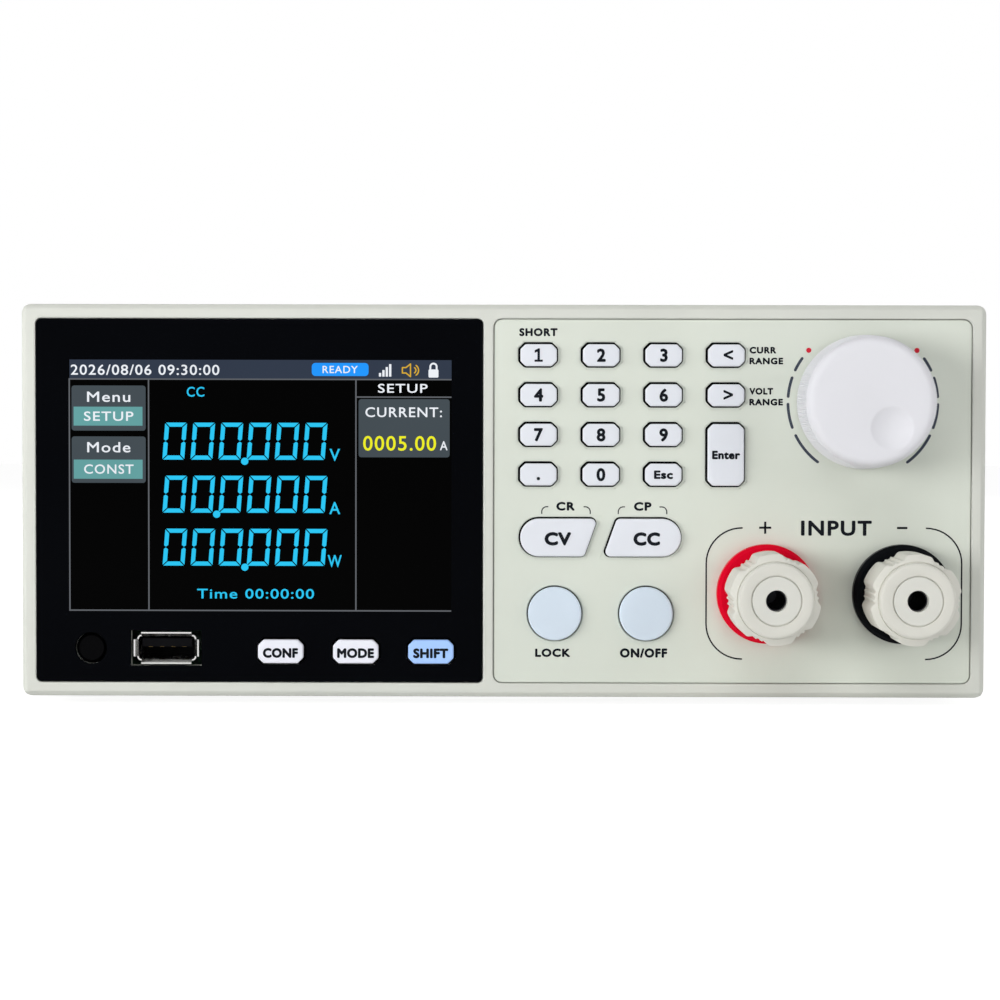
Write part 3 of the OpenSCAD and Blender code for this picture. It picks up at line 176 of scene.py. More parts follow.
# Moulded, painted and printed finishes: colour, roughness between two values, grain size and depth in
# millimetres, how much the colour drifts, and how far edges are rounded
finishTable = {
    "bezelPlastic": dict(colour=(216, 218, 210), rough=(0.42, 0.54), grain=0.5, depth=0.012, drift=0.02, edge=0.7,
                         specular=0.35),
    "overlayFilm": dict(colour=(220, 225, 214), rough=(0.36, 0.46), grain=0.3, drift=0.02, edge=0.15, specular=0.3),
    "windowAcrylic": dict(colour=(4, 5, 8), rough=(0.05, 0.09), grain=40, depth=0.02, drift=0.1, specular=0.015),
    "displayFrame": dict(colour=(58, 61, 65), rough=(0.35, 0.5), grain=0.8, depth=0.006, drift=0.05, metallic=0.6),
    "moulding": dict(colour=(24, 24, 26), rough=(0.42, 0.58), grain=0.4, depth=0.012, drift=0.08, edge=0.25,
                     specular=0.25),
    "buttonBlack": dict(colour=(3, 3, 4), rough=(0.28, 0.4), grain=0.4, depth=0.006, drift=0.08, specular=0.03),
    # dark rubber, also laid on the keys' lower sides as painted shade in the gaps round them
    "keyRubber": dict(colour=(13, 13, 15), rough=(0.6, 0.75), grain=0.4, depth=0.01, drift=0.08, specular=0.05),
    "keyPlastic": dict(colour=(229, 232, 239), rough=(0.34, 0.44)),
    "keyLit": dict(colour=(215, 228, 241), rough=(0.3, 0.4), drift=0.03),
    # the menu keys' glow is painted light that brightens them; they have no lamp inside
    "keyMenu": dict(colour=(230, 231, 240), rough=(0.34, 0.44), glow=0.1),
    "keyBlue": dict(colour=(146, 178, 226), rough=(0.3, 0.42), drift=0.04, glow=0.38),
    "knobPlastic": dict(colour=(230, 230, 235), rough=(0.4, 0.5), grain=0.4, depth=0.006, drift=0.012),
    "collarRed": dict(colour=(216, 5, 39), rough=(0.25, 0.36), grain=0.8, depth=0.008, drift=0.04, edge=0.12,
                      specular=0.04),
    "collarBlack": dict(colour=(13, 15, 18), rough=(0.28, 0.4), grain=0.8, depth=0.008, drift=0.08, edge=0.12,
                        specular=0.03),
    "capIvory": dict(colour=(220, 219, 210), rough=(0.38, 0.5), grain=0.5, depth=0.008, drift=0.02),
    "insertIvory": dict(colour=(221, 221, 213), rough=(0.36, 0.48), grain=0.5, depth=0.008, drift=0.02, edge=0.2),
    "casePaint": dict(colour=(203, 205, 199), rough=(0.46, 0.6), grain=0.9, depth=0.03, drift=0.02, edge=0.5),
    "rearPaint": dict(colour=(198, 200, 195), rough=(0.46, 0.6), grain=0.9, depth=0.03, drift=0.02, edge=0.2),
    "footRubber": dict(colour=(31, 31, 32), rough=(0.7, 0.85), grain=0.6, depth=0.03, drift=0.1, edge=0.3),
    "transistorBlack": dict(colour=(28, 28, 30), rough=(0.55, 0.7), grain=0.3, depth=0.02, drift=0.1),
    "inkDark": dict(colour=(20, 23, 29), rough=(0.45, 0.6), grain=0.3, depth=0.002, drift=0.1, specular=0.08),
    "inkSlate": dict(colour=(66, 72, 84), rough=(0.45, 0.6), grain=0.3, depth=0.002, drift=0.06, specular=0.1),
    "inkRed": dict(colour=(205, 40, 58), rough=(0.45, 0.6), grain=0.3, depth=0.002, drift=0.05, specular=0.1),
    "screenGlass": dict(colour=(0, 0, 0), rough=(0.08, 0.12), grain=30, depth=0.01, drift=0.0, specular=0.02),
}
driftSize, wearSize = 25, 6  # the drift's spots in millimetres, and those of the wear in grains


def mouldedFinish(name, colour, rough, grain=0.35, depth=0.004, drift=0.015, edge=0.0, metallic=0.0, specular=0.5,
                  glow=0.0):
    material = newFinish(name, colour, rough[1], metallic, specular)
    setGlow(material, colour, glow)
    return dress(material, spots(material, driftSize, 3), drift, spots(material, grain * wearSize), rough,
                 spots(material, grain, 3), depth, edge)


# Metals: colour, roughness between two values, size and depth of the marks, their stretch when drawn
metalTable = {
    "shellSteel": dict(colour=(222, 222, 220), rough=(0.16, 0.3), marks=1.2, depth=0.003),
    "encoderMetal": dict(colour=(176, 178, 182), rough=(0.25, 0.4), marks=1.5),
    "shaftSteel": dict(colour=(190, 191, 194), rough=(0.2, 0.34), marks=0.4, stretch=(1, 0.05, 1), depth=0.003),
    "contactGold": dict(colour=(150, 126, 76), rough=(0.22, 0.36), marks=0.5),
    "studNickel": dict(colour=(58, 58, 62), rough=(0.3, 0.45), marks=0.5),
    "busbarCopper": dict(colour=(196, 128, 92), rough=(0.25, 0.42), marks=2.0, stretch=(1, 0.2, 1), depth=0.006),
    "sinkAluminium": dict(colour=(186, 189, 194), rough=(0.3, 0.45), marks=0.6, stretch=(1, 0.03, 1), depth=0.012),
    "screwSteel": dict(colour=(188, 190, 193), rough=(0.22, 0.38), marks=0.5, depth=0.006),
    "portMetal": dict(colour=(196, 198, 201), rough=(0.25, 0.4), marks=1.5, depth=0.006),
}
metalLook = dict(driftSize=12, drift=0.06, wear=3, edge=0.15)


def metalFinish(name, colour, rough, marks, stretch=(1, 1, 1), depth=0.004):
    look = metalLook
    material = newFinish(name, colour, rough[1], 1.0)
    return dress(material, spots(material, look["driftSize"], 3), look["drift"],
                 spots(material, marks * look["wear"], 3, stretch), rough, spots(material, marks, 2, stretch), depth,
                 look["edge"])


def zincFinish():  # bare plated sheet with its faint crystals
    material = newFinish("trayZinc", (186, 190, 194), 0.42, 1.0)
    patches = crystals(material, 7)
    return dress(material, patches, 0.07, patches, (0.34, 0.5), spots(material, 0.8), 0.006, 0.2, (0.0, 1.0))


def boardFinish():  # green lacquer over copper tracks
    material = newFinish("boardGreen", (20, 84, 52), 0.35)
    tracks = stripes(material, 2.4, "DIAGONAL", 6.0)
    return dress(material, tracks, 0.22, spots(material, 3), (0.28, 0.42), tracks, 0.03, span=(0.45, 0.55))


def ribbonFinish():  # side by side wires under grey skin
    material = newFinish("ribbonGrey", (156, 158, 162), 0.5)
    wires = stripes(material, 1.27, "X")
    return dress(material, wires, 0.12, spots(material, 2), (0.42, 0.56), wires, 0.25, span=(0.1, 0.6))


def coreFinish():  # stacked sheets under varnish
    material = newFinish("coreSteel", (92, 88, 82), 0.45, 0.3)
    sheets = stripes(material, 0.5, "Y")
    return dress(material, sheets, 0.18, spots(material, 2), (0.38, 0.55), sheets, 0.05)


# Lit parts of the display, in the colours they show
litColours = {
    "litCyan": (41, 199, 245), "litWhite": (236, 240, 246), "litYellow": (240, 240, 34),
    "litBar": (48, 57, 73), "litGrey": (67, 76, 82), "litTeal": (99, 160, 160), "litBlue": (32, 149, 250),
    "litLine": (96, 99, 104), "litAmber": (214, 170, 50),
}


def litFinish(name, colour):  # a backlit area, not quite even
    material = newFinish(name, (0, 0, 0), 0.3, specular=0.05)
    setGlow(material, colour, 1.0)
    varyColour(material, spots(material, 22), 0.04, "Emission Color")
    varyRoughness(material, spots(material, 3), 0.25, 0.35)
    return material


finish = {name: mouldedFinish(name, **look) for name, look in finishTable.items()}
finish.update({name: metalFinish(name, **look) for name, look in metalTable.items()})
finish.update({name: litFinish(name, colour) for name, colour in litColours.items()})
finish.update(trayZinc=zincFinish(), boardGreen=boardFinish(), ribbonGrey=ribbonFinish(), coreSteel=coreFinish())

# What the CAD nodes are made of
nodeFinish = {
    "bezelPlastic": "front_bezel", "overlayFilm": "keypad_overlay", "windowAcrylic": "display_window",
    "displayFrame": "lcd_module", "boardGreen": "front_board main_board", "buttonBlack": "power_button",
    "moulding": "switch_bodies encoder_plunger fan_frame fan_rotor mains_inlet fuse_drawer",
    "shellSteel": "usb_shell", "keyRubber": "usb_tongue", "encoderMetal": "encoder_body",
    "shaftSteel": "encoder_shaft", "collarRed": "post_collar_plus", "collarBlack": "post_collar_minus",
    "studNickel": "post_studs", "insertIvory": "post_inserts",
    "screwSteel": "post_nuts post_ring_plus post_ring_minus", "trayZinc": "chassis", "casePaint": "top_cover",
    "rearPaint": "rear_panel", "footRubber": "feet", "portMetal": "interface_ports",
    "sinkAluminium": "heat_sink", "transistorBlack": "power_transistors", "coreSteel": "aux_supply",
    "busbarCopper": "input_busbars", "ribbonGrey": "ribbon_cable",
}
for name, nodes in nodeFinish.items():
    for node in nodes.split():
        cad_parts[node].data.materials.clear()
        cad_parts[node].data.materials.append(finish[name])
print("finishes:", len(finish))


# Outlines, counter-clockwise

def roundedOutline(corners, radii, grow=0.0, steps=6):  # convex outline with its corners rounded
    points = []
    count = len(corners)
    for i in range(count):
        before, here, after = (Vector(corners[(i + k) % count]) for k in (-1, 0, 1))
        inward, onward = (here - before).normalized(), (after - here).normalized()
        normalIn, normalOut = Vector((inward.y, -inward.x)), Vector((onward.y, -onward.x))
        centre = here - radii[i] * (normalIn + normalOut) / (1 + normalIn.dot(normalOut))
        start = math.atan2(normalIn.y, normalIn.x)
        turn = normalIn.angle_signed(normalOut)
        for k in range(steps + 1):
            angle = start - turn * k / steps
            points.append(centre + (radii[i] + grow) * Vector((math.cos(angle), math.sin(angle))))
    return points


def sides(wide, high, lean=0.0):  # corners of a box or a flat D
    w, h = wide / 2, high / 2
    return [(lean - w, -h), (w - lean, -h), (w, h), (-w, h)]


def rectangle(left, right, bottom, top, radius=0.0, steps=4):
    corners = [(left, bottom), (right, bottom), (right, top), (left, top)]
    return roundedOutline(corners, [radius] * 4, 0.0, steps) if radius else [Vector(c) for c in corners]


def arc(x, z, radius, start, end, steps=12):  # angles in degrees
    angles = [math.radians(start + (end - start) * k / steps) for k in range(steps + 1)]
    return [Vector((x + radius * math.cos(a), z + radius * math.sin(a))) for a in angles]


def disc(x, z, radius, steps=28):
    return arc(x, z, radius, 0, 360, steps)[:-1]


def quarter(steps):  # cosine and sine over a quarter turn, for rounded edges
    return [(p.x, p.y) for p in arc(0, 0, 1, 0, 90, steps)]


def lift(outline, out, point=panelPoint):
    return [point(p.x, p.y, out) for p in outline]


# Meshes

def linkPiece(name, mesh, material=None):
    piece = bpy.data.objects.new(name, mesh)
    bpy.context.scene.collection.objects.link(piece)
    if material:
        mesh.materials.clear()
        mesh.materials.append(finish[material])
    return piece


def handOver(piece, body, slot, *nodes):  # a finished piece joins its body and stands for its nodes
    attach(piece, body)
    if nodes:
        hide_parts(*nodes)


def joinRings(shape, a, b):
    for i in range(len(a)):
        k = (i + 1) % len(a)
        shape.faces.new([a[i], a[k], b[k], b[i]])


def addSlab(shape, outline, back, front, point=panelPoint):  # a flat closed plate
    deep, near = ([shape.verts.new(p) for p in lift(outline, out, point)] for out in (back, front))
    shape.faces.new(near)
    shape.faces.new(deep[::-1])
    joinRings(shape, deep, near)


endShares = (0.5, 0.85, 0.99)  # steps along a stroke's half-round end


def addStroke(shape, path, width, back, front, roundEnds=False):  # a drawn line along a path
    points, halves = list(path), [width / 2] * len(path)
    if roundEnds:
        for end, inner in ((0, 1), (-1, -2)):
            outward = (points[end] - points[inner]).normalized()
            tip = points[end].copy()
            for share in endShares:
                at = len(points) if end else 0
                points.insert(at, tip + outward * width / 2 * share)
                halves.insert(at, width / 2 * math.sqrt(1 - share ** 2))
    sections = []
    for i, point in enumerate(points):
        along = (points[min(i + 1, len(points) - 1)] - points[max(i - 1, 0)]).normalized()
        side = Vector((-along.y, along.x)) * halves[i]
        sections.append([shape.verts.new(panelPoint(*(point + side * k), out))
                         for k, out in ((1, back), (-1, back), (-1, front), (1, front))])
    for a, b in zip(sections, sections[1:]):
        joinRings(shape, a, b)
    shape.faces.new(sections[0])
    shape.faces.new(sections[-1][::-1])


textNudge = 0.002  # keeps the copies that make a heavy letter out of one plane


def addText(shape, words, x, z, high, wide=None, back=0.0, front=0.0, bold=0.0, spacing=1.0, align="middle"):
    letters = bpy.data.curves.new("letters", "FONT")
    letters.body = words
    letters.space_character = spacing
    letters.extrude = 0.5
    letters.resolution_u = 4
    holder = bpy.data.objects.new("letters", letters)
    bpy.context.scene.collection.objects.link(holder)
    graph = bpy.context.evaluated_depsgraph_get()
    mesh = bpy.data.meshes.new_from_object(holder.evaluated_get(graph))
    places = [v.co.copy() for v in mesh.vertices]
    left, right = min(p.x for p in places), max(p.x for p in places)
    bottom, top = min(p.y for p in places), max(p.y for p in places)
    scaleUp = (high - 2 * bold) / (top - bottom)
    scaleAcross = (wide - 2 * bold) / (right - left) if wide else scaleUp
    start = x - (right - left) * scaleAcross / 2 if align == "middle" else x + bold
    moves = [Vector((0, 0))] + (disc(0, 0, bold, 8) if bold else [])
    for k, move in enumerate(moves):  # heavy strokes: the same letters, shifted a little
        for v, place in zip(mesh.vertices, places):
            across = start + (place.x - left) * scaleAcross + move.x
            up = z + (place.y - (bottom + top) / 2) * scaleUp + move.y
            v.co = panelPoint(across, up, front + textNudge * k if place.z > 0 else back - textNudge * k)
        shape.from_mesh(mesh)
    bpy.data.objects.remove(holder)
    bpy.data.curves.remove(letters)
    bpy.data.meshes.remove(mesh)


def addOne(shape, x, z, high, stroke, back, front):  # the built-in font draws a one as a bare stem
    s, h, foot, flag = stroke / 2, high / 2, 0.31 * high, 0.3 * high
    outline = [(-foot, -h), (foot, -h), (foot, 0.85 * stroke - h), (s, 0.85 * stroke - h), (s, h), (-0.3 * s, h),
               (-flag, 0.72 * h), (-flag, 0.72 * h - 1.05 * stroke), (-s, 0.5 * h), (-s, 0.85 * stroke - h),
               (-foot, 0.85 * stroke - h)]  # foot, stem and flag
    addSlab(shape, [Vector((x + px, z + pz)) for px, pz in outline], back, front)


def closeShape(shape, name, material, sharp=0):  # turns a shape into a piece, smooth where sharp is given
    if not sharp:
        bmesh.ops.remove_doubles(shape, verts=shape.verts, dist=1e-7)
    bmesh.ops.recalc_face_normals(shape, faces=shape.faces)
    mesh = bpy.data.meshes.new(name)
    shape.to_mesh(mesh)
    shape.free()
    if sharp:
        mesh.shade_smooth()
        mesh.set_sharp_from_angle(angle=math.radians(sharp))
    return linkPiece(name, mesh, material)


def loft(name, rings, material, tube=False, sharp=35):  # rings of equal length, closed by a point or as a tube
    shape = bmesh.new()
    loops = [[shape.verts.new(p) for p in ring] for ring in rings]
    for a, b in zip(loops, loops[1:] + loops[:1] if tube else loops[1:]):
        joinRings(shape, a, b)
    if not tube:
        for loop in (loops[0], loops[-1]):
            middle = shape.verts.new(sum((v.co for v in loop), Vector()) / len(loop))
            for i in range(len(loop)):
                shape.faces.new([loop[i - 1], loop[i], middle])
    return closeShape(shape, name, material, sharp)


def barStamp(name, size, edge, material):  # a small bar with softened edges
    shape = bmesh.new()
    bmesh.ops.create_cube(shape, size=1.0)
    bmesh.ops.scale(shape, verts=shape.verts, vec=Vector(size) * mm)
    bmesh.ops.bevel(shape, geom=shape.edges, offset=edge * mm, segments=2, affect="EDGES")
    return closeShape(shape, name, material)


# A shell with a softened mouth and a floor; outer and inner are corners and their rounding
def cup(name, material, outer, inner, back, front, floor, x=0.0, z=0.0, point=rearPoint, rim=0.15):
    def ring(outline, grow, out):
        corners, radius = outline
        return [point(x + p.x, z + p.y, out) for p in roundedOutline(corners, [radius] * len(corners), grow)]

    rings = [ring(outer, 0, back), ring(outer, 0, front - rim), ring(outer, -rim, front), ring(inner, rim, front),
             ring(inner, 0, front - rim), ring(inner, 0, floor)]
    return loft(name, rings, material)


def slabPiece(name, outline, back, front, material, slot):  # a plate on the rear
    shape = bmesh.new()
    addSlab(shape, outline, back, front, rearPoint)
    handOver(closeShape(shape, name, material), "instrument", slot)


# Geometry Nodes

def newTree(name, sockets):
    tree = bpy.data.node_groups.new(name, "GeometryNodeTree")
    keys = {socket: tree.interface.new_socket(socket, in_out="INPUT", socket_type="NodeSocket" + kind).identifier
            for socket, kind in {"Mesh": "Geometry", **sockets, "Finish": "Material"}.items()}
    tree.interface.new_socket("Mesh", in_out="OUTPUT", socket_type="NodeSocketGeometry")
    return tree, keys, addNode(tree, "NodeGroupInput").outputs


def endTree(tree, geometry, given):  # every tree ends in plain mesh with its finish set
    real = addNode(tree, "GeometryNodeRealizeInstances", {"Geometry": geometry})
    paint = addNode(tree, "GeometryNodeSetMaterial", {"Geometry": real, "Material": given["Finish"]})
    addNode(tree, "NodeGroupOutput", {"Mesh": paint})


def runTree(piece, tree, keys, values):  # applies a tree and leaves plain mesh
    modifier = piece.modifiers.new(tree.name, "NODES")
    modifier.node_group = tree
    for name, value in values.items():
        modifier[keys[name]] = value
    bpy.context.view_layer.update()
    graph = bpy.context.evaluated_depsgraph_get()
    mesh = bpy.data.meshes.new_from_object(piece.evaluated_get(graph))
    piece.modifiers.clear()
    piece.data = mesh


def stampTree():  # puts a copy of one shape on every point, turned to the point's facing
    tree, keys, given = newTree("stampOnPoints", {"Stamp": "Object", "Size": "Float"})
    stamp = addNode(tree, "GeometryNodeObjectInfo", {"Object": given["Stamp"]})
    facing = addNode(tree, "GeometryNodeInputNamedAttribute", {"Name": "facing"}, data_type="FLOAT_VECTOR")
    turn = addNode(tree, "FunctionNodeAlignRotationToVector", {"Vector": facing.outputs["Attribute"]}, axis="Z")
    copies = addNode(tree, "GeometryNodeInstanceOnPoints", {
        "Points": given["Mesh"], "Instance": stamp.outputs["Geometry"], "Rotation": turn, "Scale": given["Size"]})
    endTree(tree, copies, given)
    return tree, keys


stampNodes, stampKeys = stampTree()


def stampPiece(name, stamp, places, facings, material, size=1.0):
    mesh = bpy.data.meshes.new(name)
    mesh.from_pydata(places, [], [])
    marks = mesh.attributes.new("facing", "FLOAT_VECTOR", "POINT")
    for mark, facing in zip(marks.data, facings):
        mark.vector = facing
    piece = linkPiece(name, mesh)
    runTree(piece, stampNodes, stampKeys, {"Stamp": stamp, "Size": size, "Finish": finish[material]})
    bpy.data.objects.remove(stamp)
    return piece


def stampRow(name, stamp, places, facing, material, slot, size=1.0):  # fixed copies that all face one way
    piece = stampPiece(name, stamp, places, [facing] * len(places), material, size)
    handOver(piece, "instrument", slot)


# Keys
keyLook = dict(lip=1.06, flangeFront=-4.2, flangeBack=-5.2, stem=1.5, bevel=0.4, bevelSteps=4, crown=0.06,
               crownShares=(0.8, 0.5, 0.2), cornerRound=0.8, leanRound=1.1, lean=3.0, skirt=-0.45, slack=0.001,
               lipThick=0.45, lipDown=0.05, lipEdge=0.06, lipShift=(-0.11, 0.08), lipSharp=0.01)
# Kinds of key: finish, slot, steps round a corner, cut of the corners, inset of the cap, and how far the inner
# and outer edge of the overlay's lip stand off
keyKinds = {
    "pad": dict(keys="1 2 3 left 4 5 6 right 7 8 9 dot 0 esc enter", finish="keyPlastic", slot="key_plastic", steps=4,
                cut=1.2, inset=0.12, inner=0.29, outer=0.62),
    "slant": dict(keys="cv cc", finish="keyPlastic", slot="key_plastic", steps=12, inset=0.0, inner=0.29, outer=1.3),
    "menu": dict(keys="conf mode", finish="keyMenu", slot="key_plastic", steps=4, cut=1.3, inset=0.12),
    "round": dict(keys="lock on_off", finish="keyLit", slot="key_lit", steps=12, inset=-0.2, inner=0.47, outer=0.62),
    "shift": dict(keys="shift", finish="keyBlue", slot="key_blue", steps=4, cut=1.3, inset=0.12),
}
keyTable = {"key_" + key: dict(kind=kind, **look) for kind, look in keyKinds.items() for key in look["keys"].split()}


def keyOutline(node):  # middle of the key, its corners and their rounding
    place, look, lip = panelBox(node), keyTable[node], keyLook["lip"]
    wide, high = place["right"] - place["left"] - 2 * lip, place["top"] - place["bottom"] - 2 * lip
    x, z, w, h = place["x"], place["z"], wide / 2, high / 2
    if look["kind"] == "round":
        return x, z, sides(wide, wide), [w] * 4
    if look["kind"] == "slant":
        slope = keyLook["lean"] / high
        spare = lip * math.sqrt(1 + slope ** 2) + slope * (h + lip)  # the leaning edge's share of the box
        w = (place["right"] - place["left"] - lip - spare) / 2
        corners = [(-w, -h), (w - slope * h, -h), (w + slope * h, h), (-w, h)]
        radii = [h, keyLook["leanRound"], keyLook["leanRound"], h]
        if node == "key_cv":
            return place["left"] + lip + w, z, corners, radii
        return place["right"] - lip - w, z, [(-a, -b) for a, b in corners], radii
    cut = look["cut"]
    corners = [(cut - w, -h), (w - cut, -h), (w, cut - h), (w, h - cut), (w - cut, h), (cut - w, h), (-w, h - cut),
               (-w, cut - h)]
    return x, z, corners, [keyLook["cornerRound"]] * 8


def makeKey(node, look):
    x, z, corners, radii = keyOutline(node)
    place, inset = panelBox(node), look["inset"]
    lip, skirt, front, back = keyLook["lip"], keyLook["skirt"], keyLook["flangeFront"], keyLook["flangeBack"]
    bevel, top = keyLook["bevel"], place["front"] - keyLook["crown"]

    def ring(grow, out, share=1.0):
        return [panelPoint(x + p.x * share, z + p.y * share, out)
                for p in roundedOutline(corners, radii, grow, look["steps"])]

    outline = roundedOutline(corners, radii, 0.0, look["steps"])
    stem = [Vector((x, z)) + p.normalized() * keyLook["stem"] for p in outline]
    rings = [lift(stem, place["back"]), lift(stem, back), ring(lip, back), ring(lip, front), ring(0, front),
             ring(0, skirt), ring(-inset, skirt)]
    rings += [ring(bevel * (c - 1) - inset, top - bevel * (1 - s)) for c, s in quarter(keyLook["bevelSteps"])]
    rings += [ring(-bevel - inset, place["front"] - keyLook["crown"] * share ** 2, share)
              for share in keyLook["crownShares"]]
    piece = loft(node + "_cap", rings, look["finish"])
    piece.data.materials.append(finish["keyRubber"])
    for face in piece.data.polygons:  # faces below the skirt take the dark rubber finish as painted shade, so the gap round the key reads black
        if faceY - face.center.y < (skirt + keyLook["slack"]) * mm:
            face.material_index = 1
    handOver(piece, node, look["slot"], node)


def makeLips():  # the overlay's edge, turned down round each key
    film = panelBox("keypad_overlay")["front"] - keyLook["lipDown"]
    foot, edge = film - keyLook["lipThick"], keyLook["lipEdge"]
    shape = bmesh.new()
    for node, look in keyTable.items():
        if "inner" not in look:
            continue
        x, z, corners, radii = keyOutline(node)
        inner, outer, middle = look["inner"], look["outer"], Vector((x, z))
        shifted, square = middle, radii
        if look["kind"] != "round":
            shifted = middle + Vector(keyLook["lipShift"])  # the cut-outs sit a little up and left
        if look["kind"] == "slant":
            square = [keyLook["lipSharp"] if r == keyLook["leanRound"] else r for r in radii]  # fills sharp corners
        rows = [(shifted, radii, inner, foot), (shifted, radii, inner, film - edge),
                (shifted, radii, inner + edge, film), (middle, square, outer, film), (middle, square, outer, foot)]
        loops = [[shape.verts.new(panelPoint(*(mid + p), out))
                  for p in roundedOutline(corners, rounds, grow, look["steps"])] for mid, rounds, grow, out in rows]
        for a, b in zip(loops, loops[1:] + loops[:1]):
            joinRings(shape, a, b)
    handOver(closeShape(shape, "overlay_lips", "overlayFilm"), "instrument", "overlay_film")


for node, look in keyTable.items():
    makeKey(node, look)
makeLips()

# Legends: words, height and width, and how far they sit from the key's middle
legendLook = dict(proud=0.03, sunk=0.25, boldShare=0.05, wordShare=0.068, oneStroke=0.54, spacing=1.08)
legends = {"key_" + digit: (digit, 2.95, None) for digit in "1234567890"}
legends.update({
    "key_dot": (".", 0.75, None), "key_left": ("<", 2.2, 2.1), "key_right": (">", 2.2, 2.1),
    "key_esc": ("Esc", 1.9, 4.2), "key_enter": ("Enter", 1.9, 6.2), "key_cv": ("CV", 3.0, 5.9),
    "key_cc": ("CC", 3.0, 5.9), "key_conf": ("CONF", 2.2, 7.8), "key_mode": ("MODE", 2.2, 8.2),
    "key_shift": ("SHIFT", 2.2, 7.8),
})
legendShift = {"key_left": (0.4, 0.1), "key_right": (0.4, 0.1), "key_dot": (0.0, -0.9), "key_cv": (0.5, -0.25),
               "key_cc": (0.2, -0.25), "key_conf": (0.0, -0.3), "key_mode": (0.0, -0.3), "key_shift": (0.0, -0.3)}
for node, (words, high, wide) in legends.items():
    x, z = keyOutline(node)[:2]
    shiftX, shiftZ = legendShift.get(node, (0.0, 0.0))
    front = panelBox(node)["front"]
    inkBack, inkFront = front - legendLook["sunk"], front + legendLook["proud"]
    shape = bmesh.new()
    if words == "1":
        addOne(shape, x, z, high, legendLook["oneStroke"], inkBack, inkFront)
    else:
        share = legendLook["boldShare"] if len(words) == 1 else legendLook["wordShare"]
        addText(shape, words, x + shiftX, z + shiftZ, high, wide, inkBack, inkFront, share * high,
                legendLook["spacing"])
    handOver(closeShape(shape, node + "_legend", "inkDark"), node, "key_plastic")
print("keys:", len(keyTable), "with", len(legends), "legends")

# Knob: the heel's rows are inset and rise, the rim's are shares of its softening
knobLook = dict(ridges=220, ridgeHigh=0.18, ridgeBack=1.1, ridgeFront=13.3, draft=0.6, edgeRound=2.0, edgeSteps=9,
                heel=((0.6, 0.0), (0.2, 0.1), (0.0, 0.4)), turns=160, bore=3.03, boreFront=3.4, dimpleWide=9.5,
                dimpleDeep=1.25, dimpleOff=7.16, dimpleTurn=-53, dimpleRim=0.35, rimRows=((1.0, 0.0), (0.4, 0.1)),
                rimIn=0.3, dimpleSteps=16)


def knurlTree():  # adds a ring of fine ridges to the knob's side
    tree, keys, given = newTree("knurl", {
        "Ridges": "Int", "Radius": "Float", "Ridge size": "Vector", "Lean": "Rotation", "Middle": "Vector"})
    ring = addNode(tree, "GeometryNodeMeshCircle", {"Vertices": given["Ridges"], "Radius": given["Radius"]})
    ridge = addNode(tree, "GeometryNodeMeshCube", {"Size": given["Ridge size"]})
    onEdge = addNode(tree, "GeometryNodeTransform", {"Geometry": ridge, "Rotation": (0, 0, math.pi / 4)})
    lean = addNode(tree, "GeometryNodeTransform", {"Geometry": onEdge, "Rotation": given["Lean"]})
    where = addNode(tree, "GeometryNodeInputPosition")
    turn = addNode(tree, "FunctionNodeAlignRotationToVector", {"Vector": where}, axis="X", pivot_axis="Z")
    copies = addNode(tree, "GeometryNodeInstanceOnPoints", {"Points": ring, "Instance": lean, "Rotation": turn})
    stand = addNode(tree, "GeometryNodeTransform", {
        "Geometry": copies, "Rotation": (math.pi / 2, 0, 0), "Translation": given["Middle"]})
    both = addNode(tree, "GeometryNodeJoinGeometry", {"Geometry": given["Mesh"]})
    setSockets(tree, both, {"Geometry": stand})
    endTree(tree, both, given)
    return tree, keys


def makeKnob():
    look, place = knobLook, panelBox("knob")
    x, z, front, back = place["x"], place["z"], place["front"], place["back"]
    side = (place["right"] - place["left"]) / 2 - look["ridgeHigh"]
    edge, neck = look["edgeRound"], side - look["draft"]  # the drafted side meets the rounded front edge at neck

    def circle(r, out, midX=0.0, midZ=0.0):
        return lift(disc(x + midX, z + midZ, r, look["turns"]), out)

    rings = [circle(look["bore"], front - look["boreFront"]), circle(look["bore"], back)]
    rings += [circle(side - inset, back + rise) for inset, rise in look["heel"]] + [circle(neck, front - edge)]
    rings += [circle(neck - edge + edge * c, front - edge + edge * s) for c, s in quarter(look["edgeSteps"])[1:]]
    turn = math.radians(look["dimpleTurn"])
    middle = (look["dimpleOff"] * math.cos(turn), look["dimpleOff"] * math.sin(turn))
    rim, deep, soft = look["dimpleWide"] / 2, look["dimpleDeep"], look["dimpleRim"]
    ball = (rim ** 2 + deep ** 2) / (2 * deep)
    rings += [circle(rim + soft * away, front - soft * down, *middle) for away, down in look["rimRows"]]
    for k in range(look["dimpleSteps"]):
        r = (rim - soft * look["rimIn"]) * (1 - k / look["dimpleSteps"])
        rings.append(circle(r, front + ball - deep - math.sqrt(ball ** 2 - r ** 2), *middle))
    piece = loft("dial_knob", rings, "knobPlastic", sharp=50)
    long = look["ridgeFront"] - look["ridgeBack"]
    ridge = look["ridgeHigh"] * math.sqrt(2)
    slope = math.atan2(look["draft"], front - edge - back)
    tree, keys = knurlTree()
    runTree(piece, tree, keys, {
        "Ridges": look["ridges"], "Radius": (side - look["draft"] / 2) * mm,
        "Ridge size": (ridge * mm, ridge * mm, long * mm), "Lean": (0.0, -slope, 0.0),
        "Middle": panelPoint(x, z, (look["ridgeFront"] + look["ridgeBack"]) / 2), "Finish": finish["knobPlastic"]})
    handOver(piece, "knob", "knob_plastic", "knob")
    return x, z


dialX, dialZ = makeKnob()
print("knob:", knobLook["ridges"], "ridges")

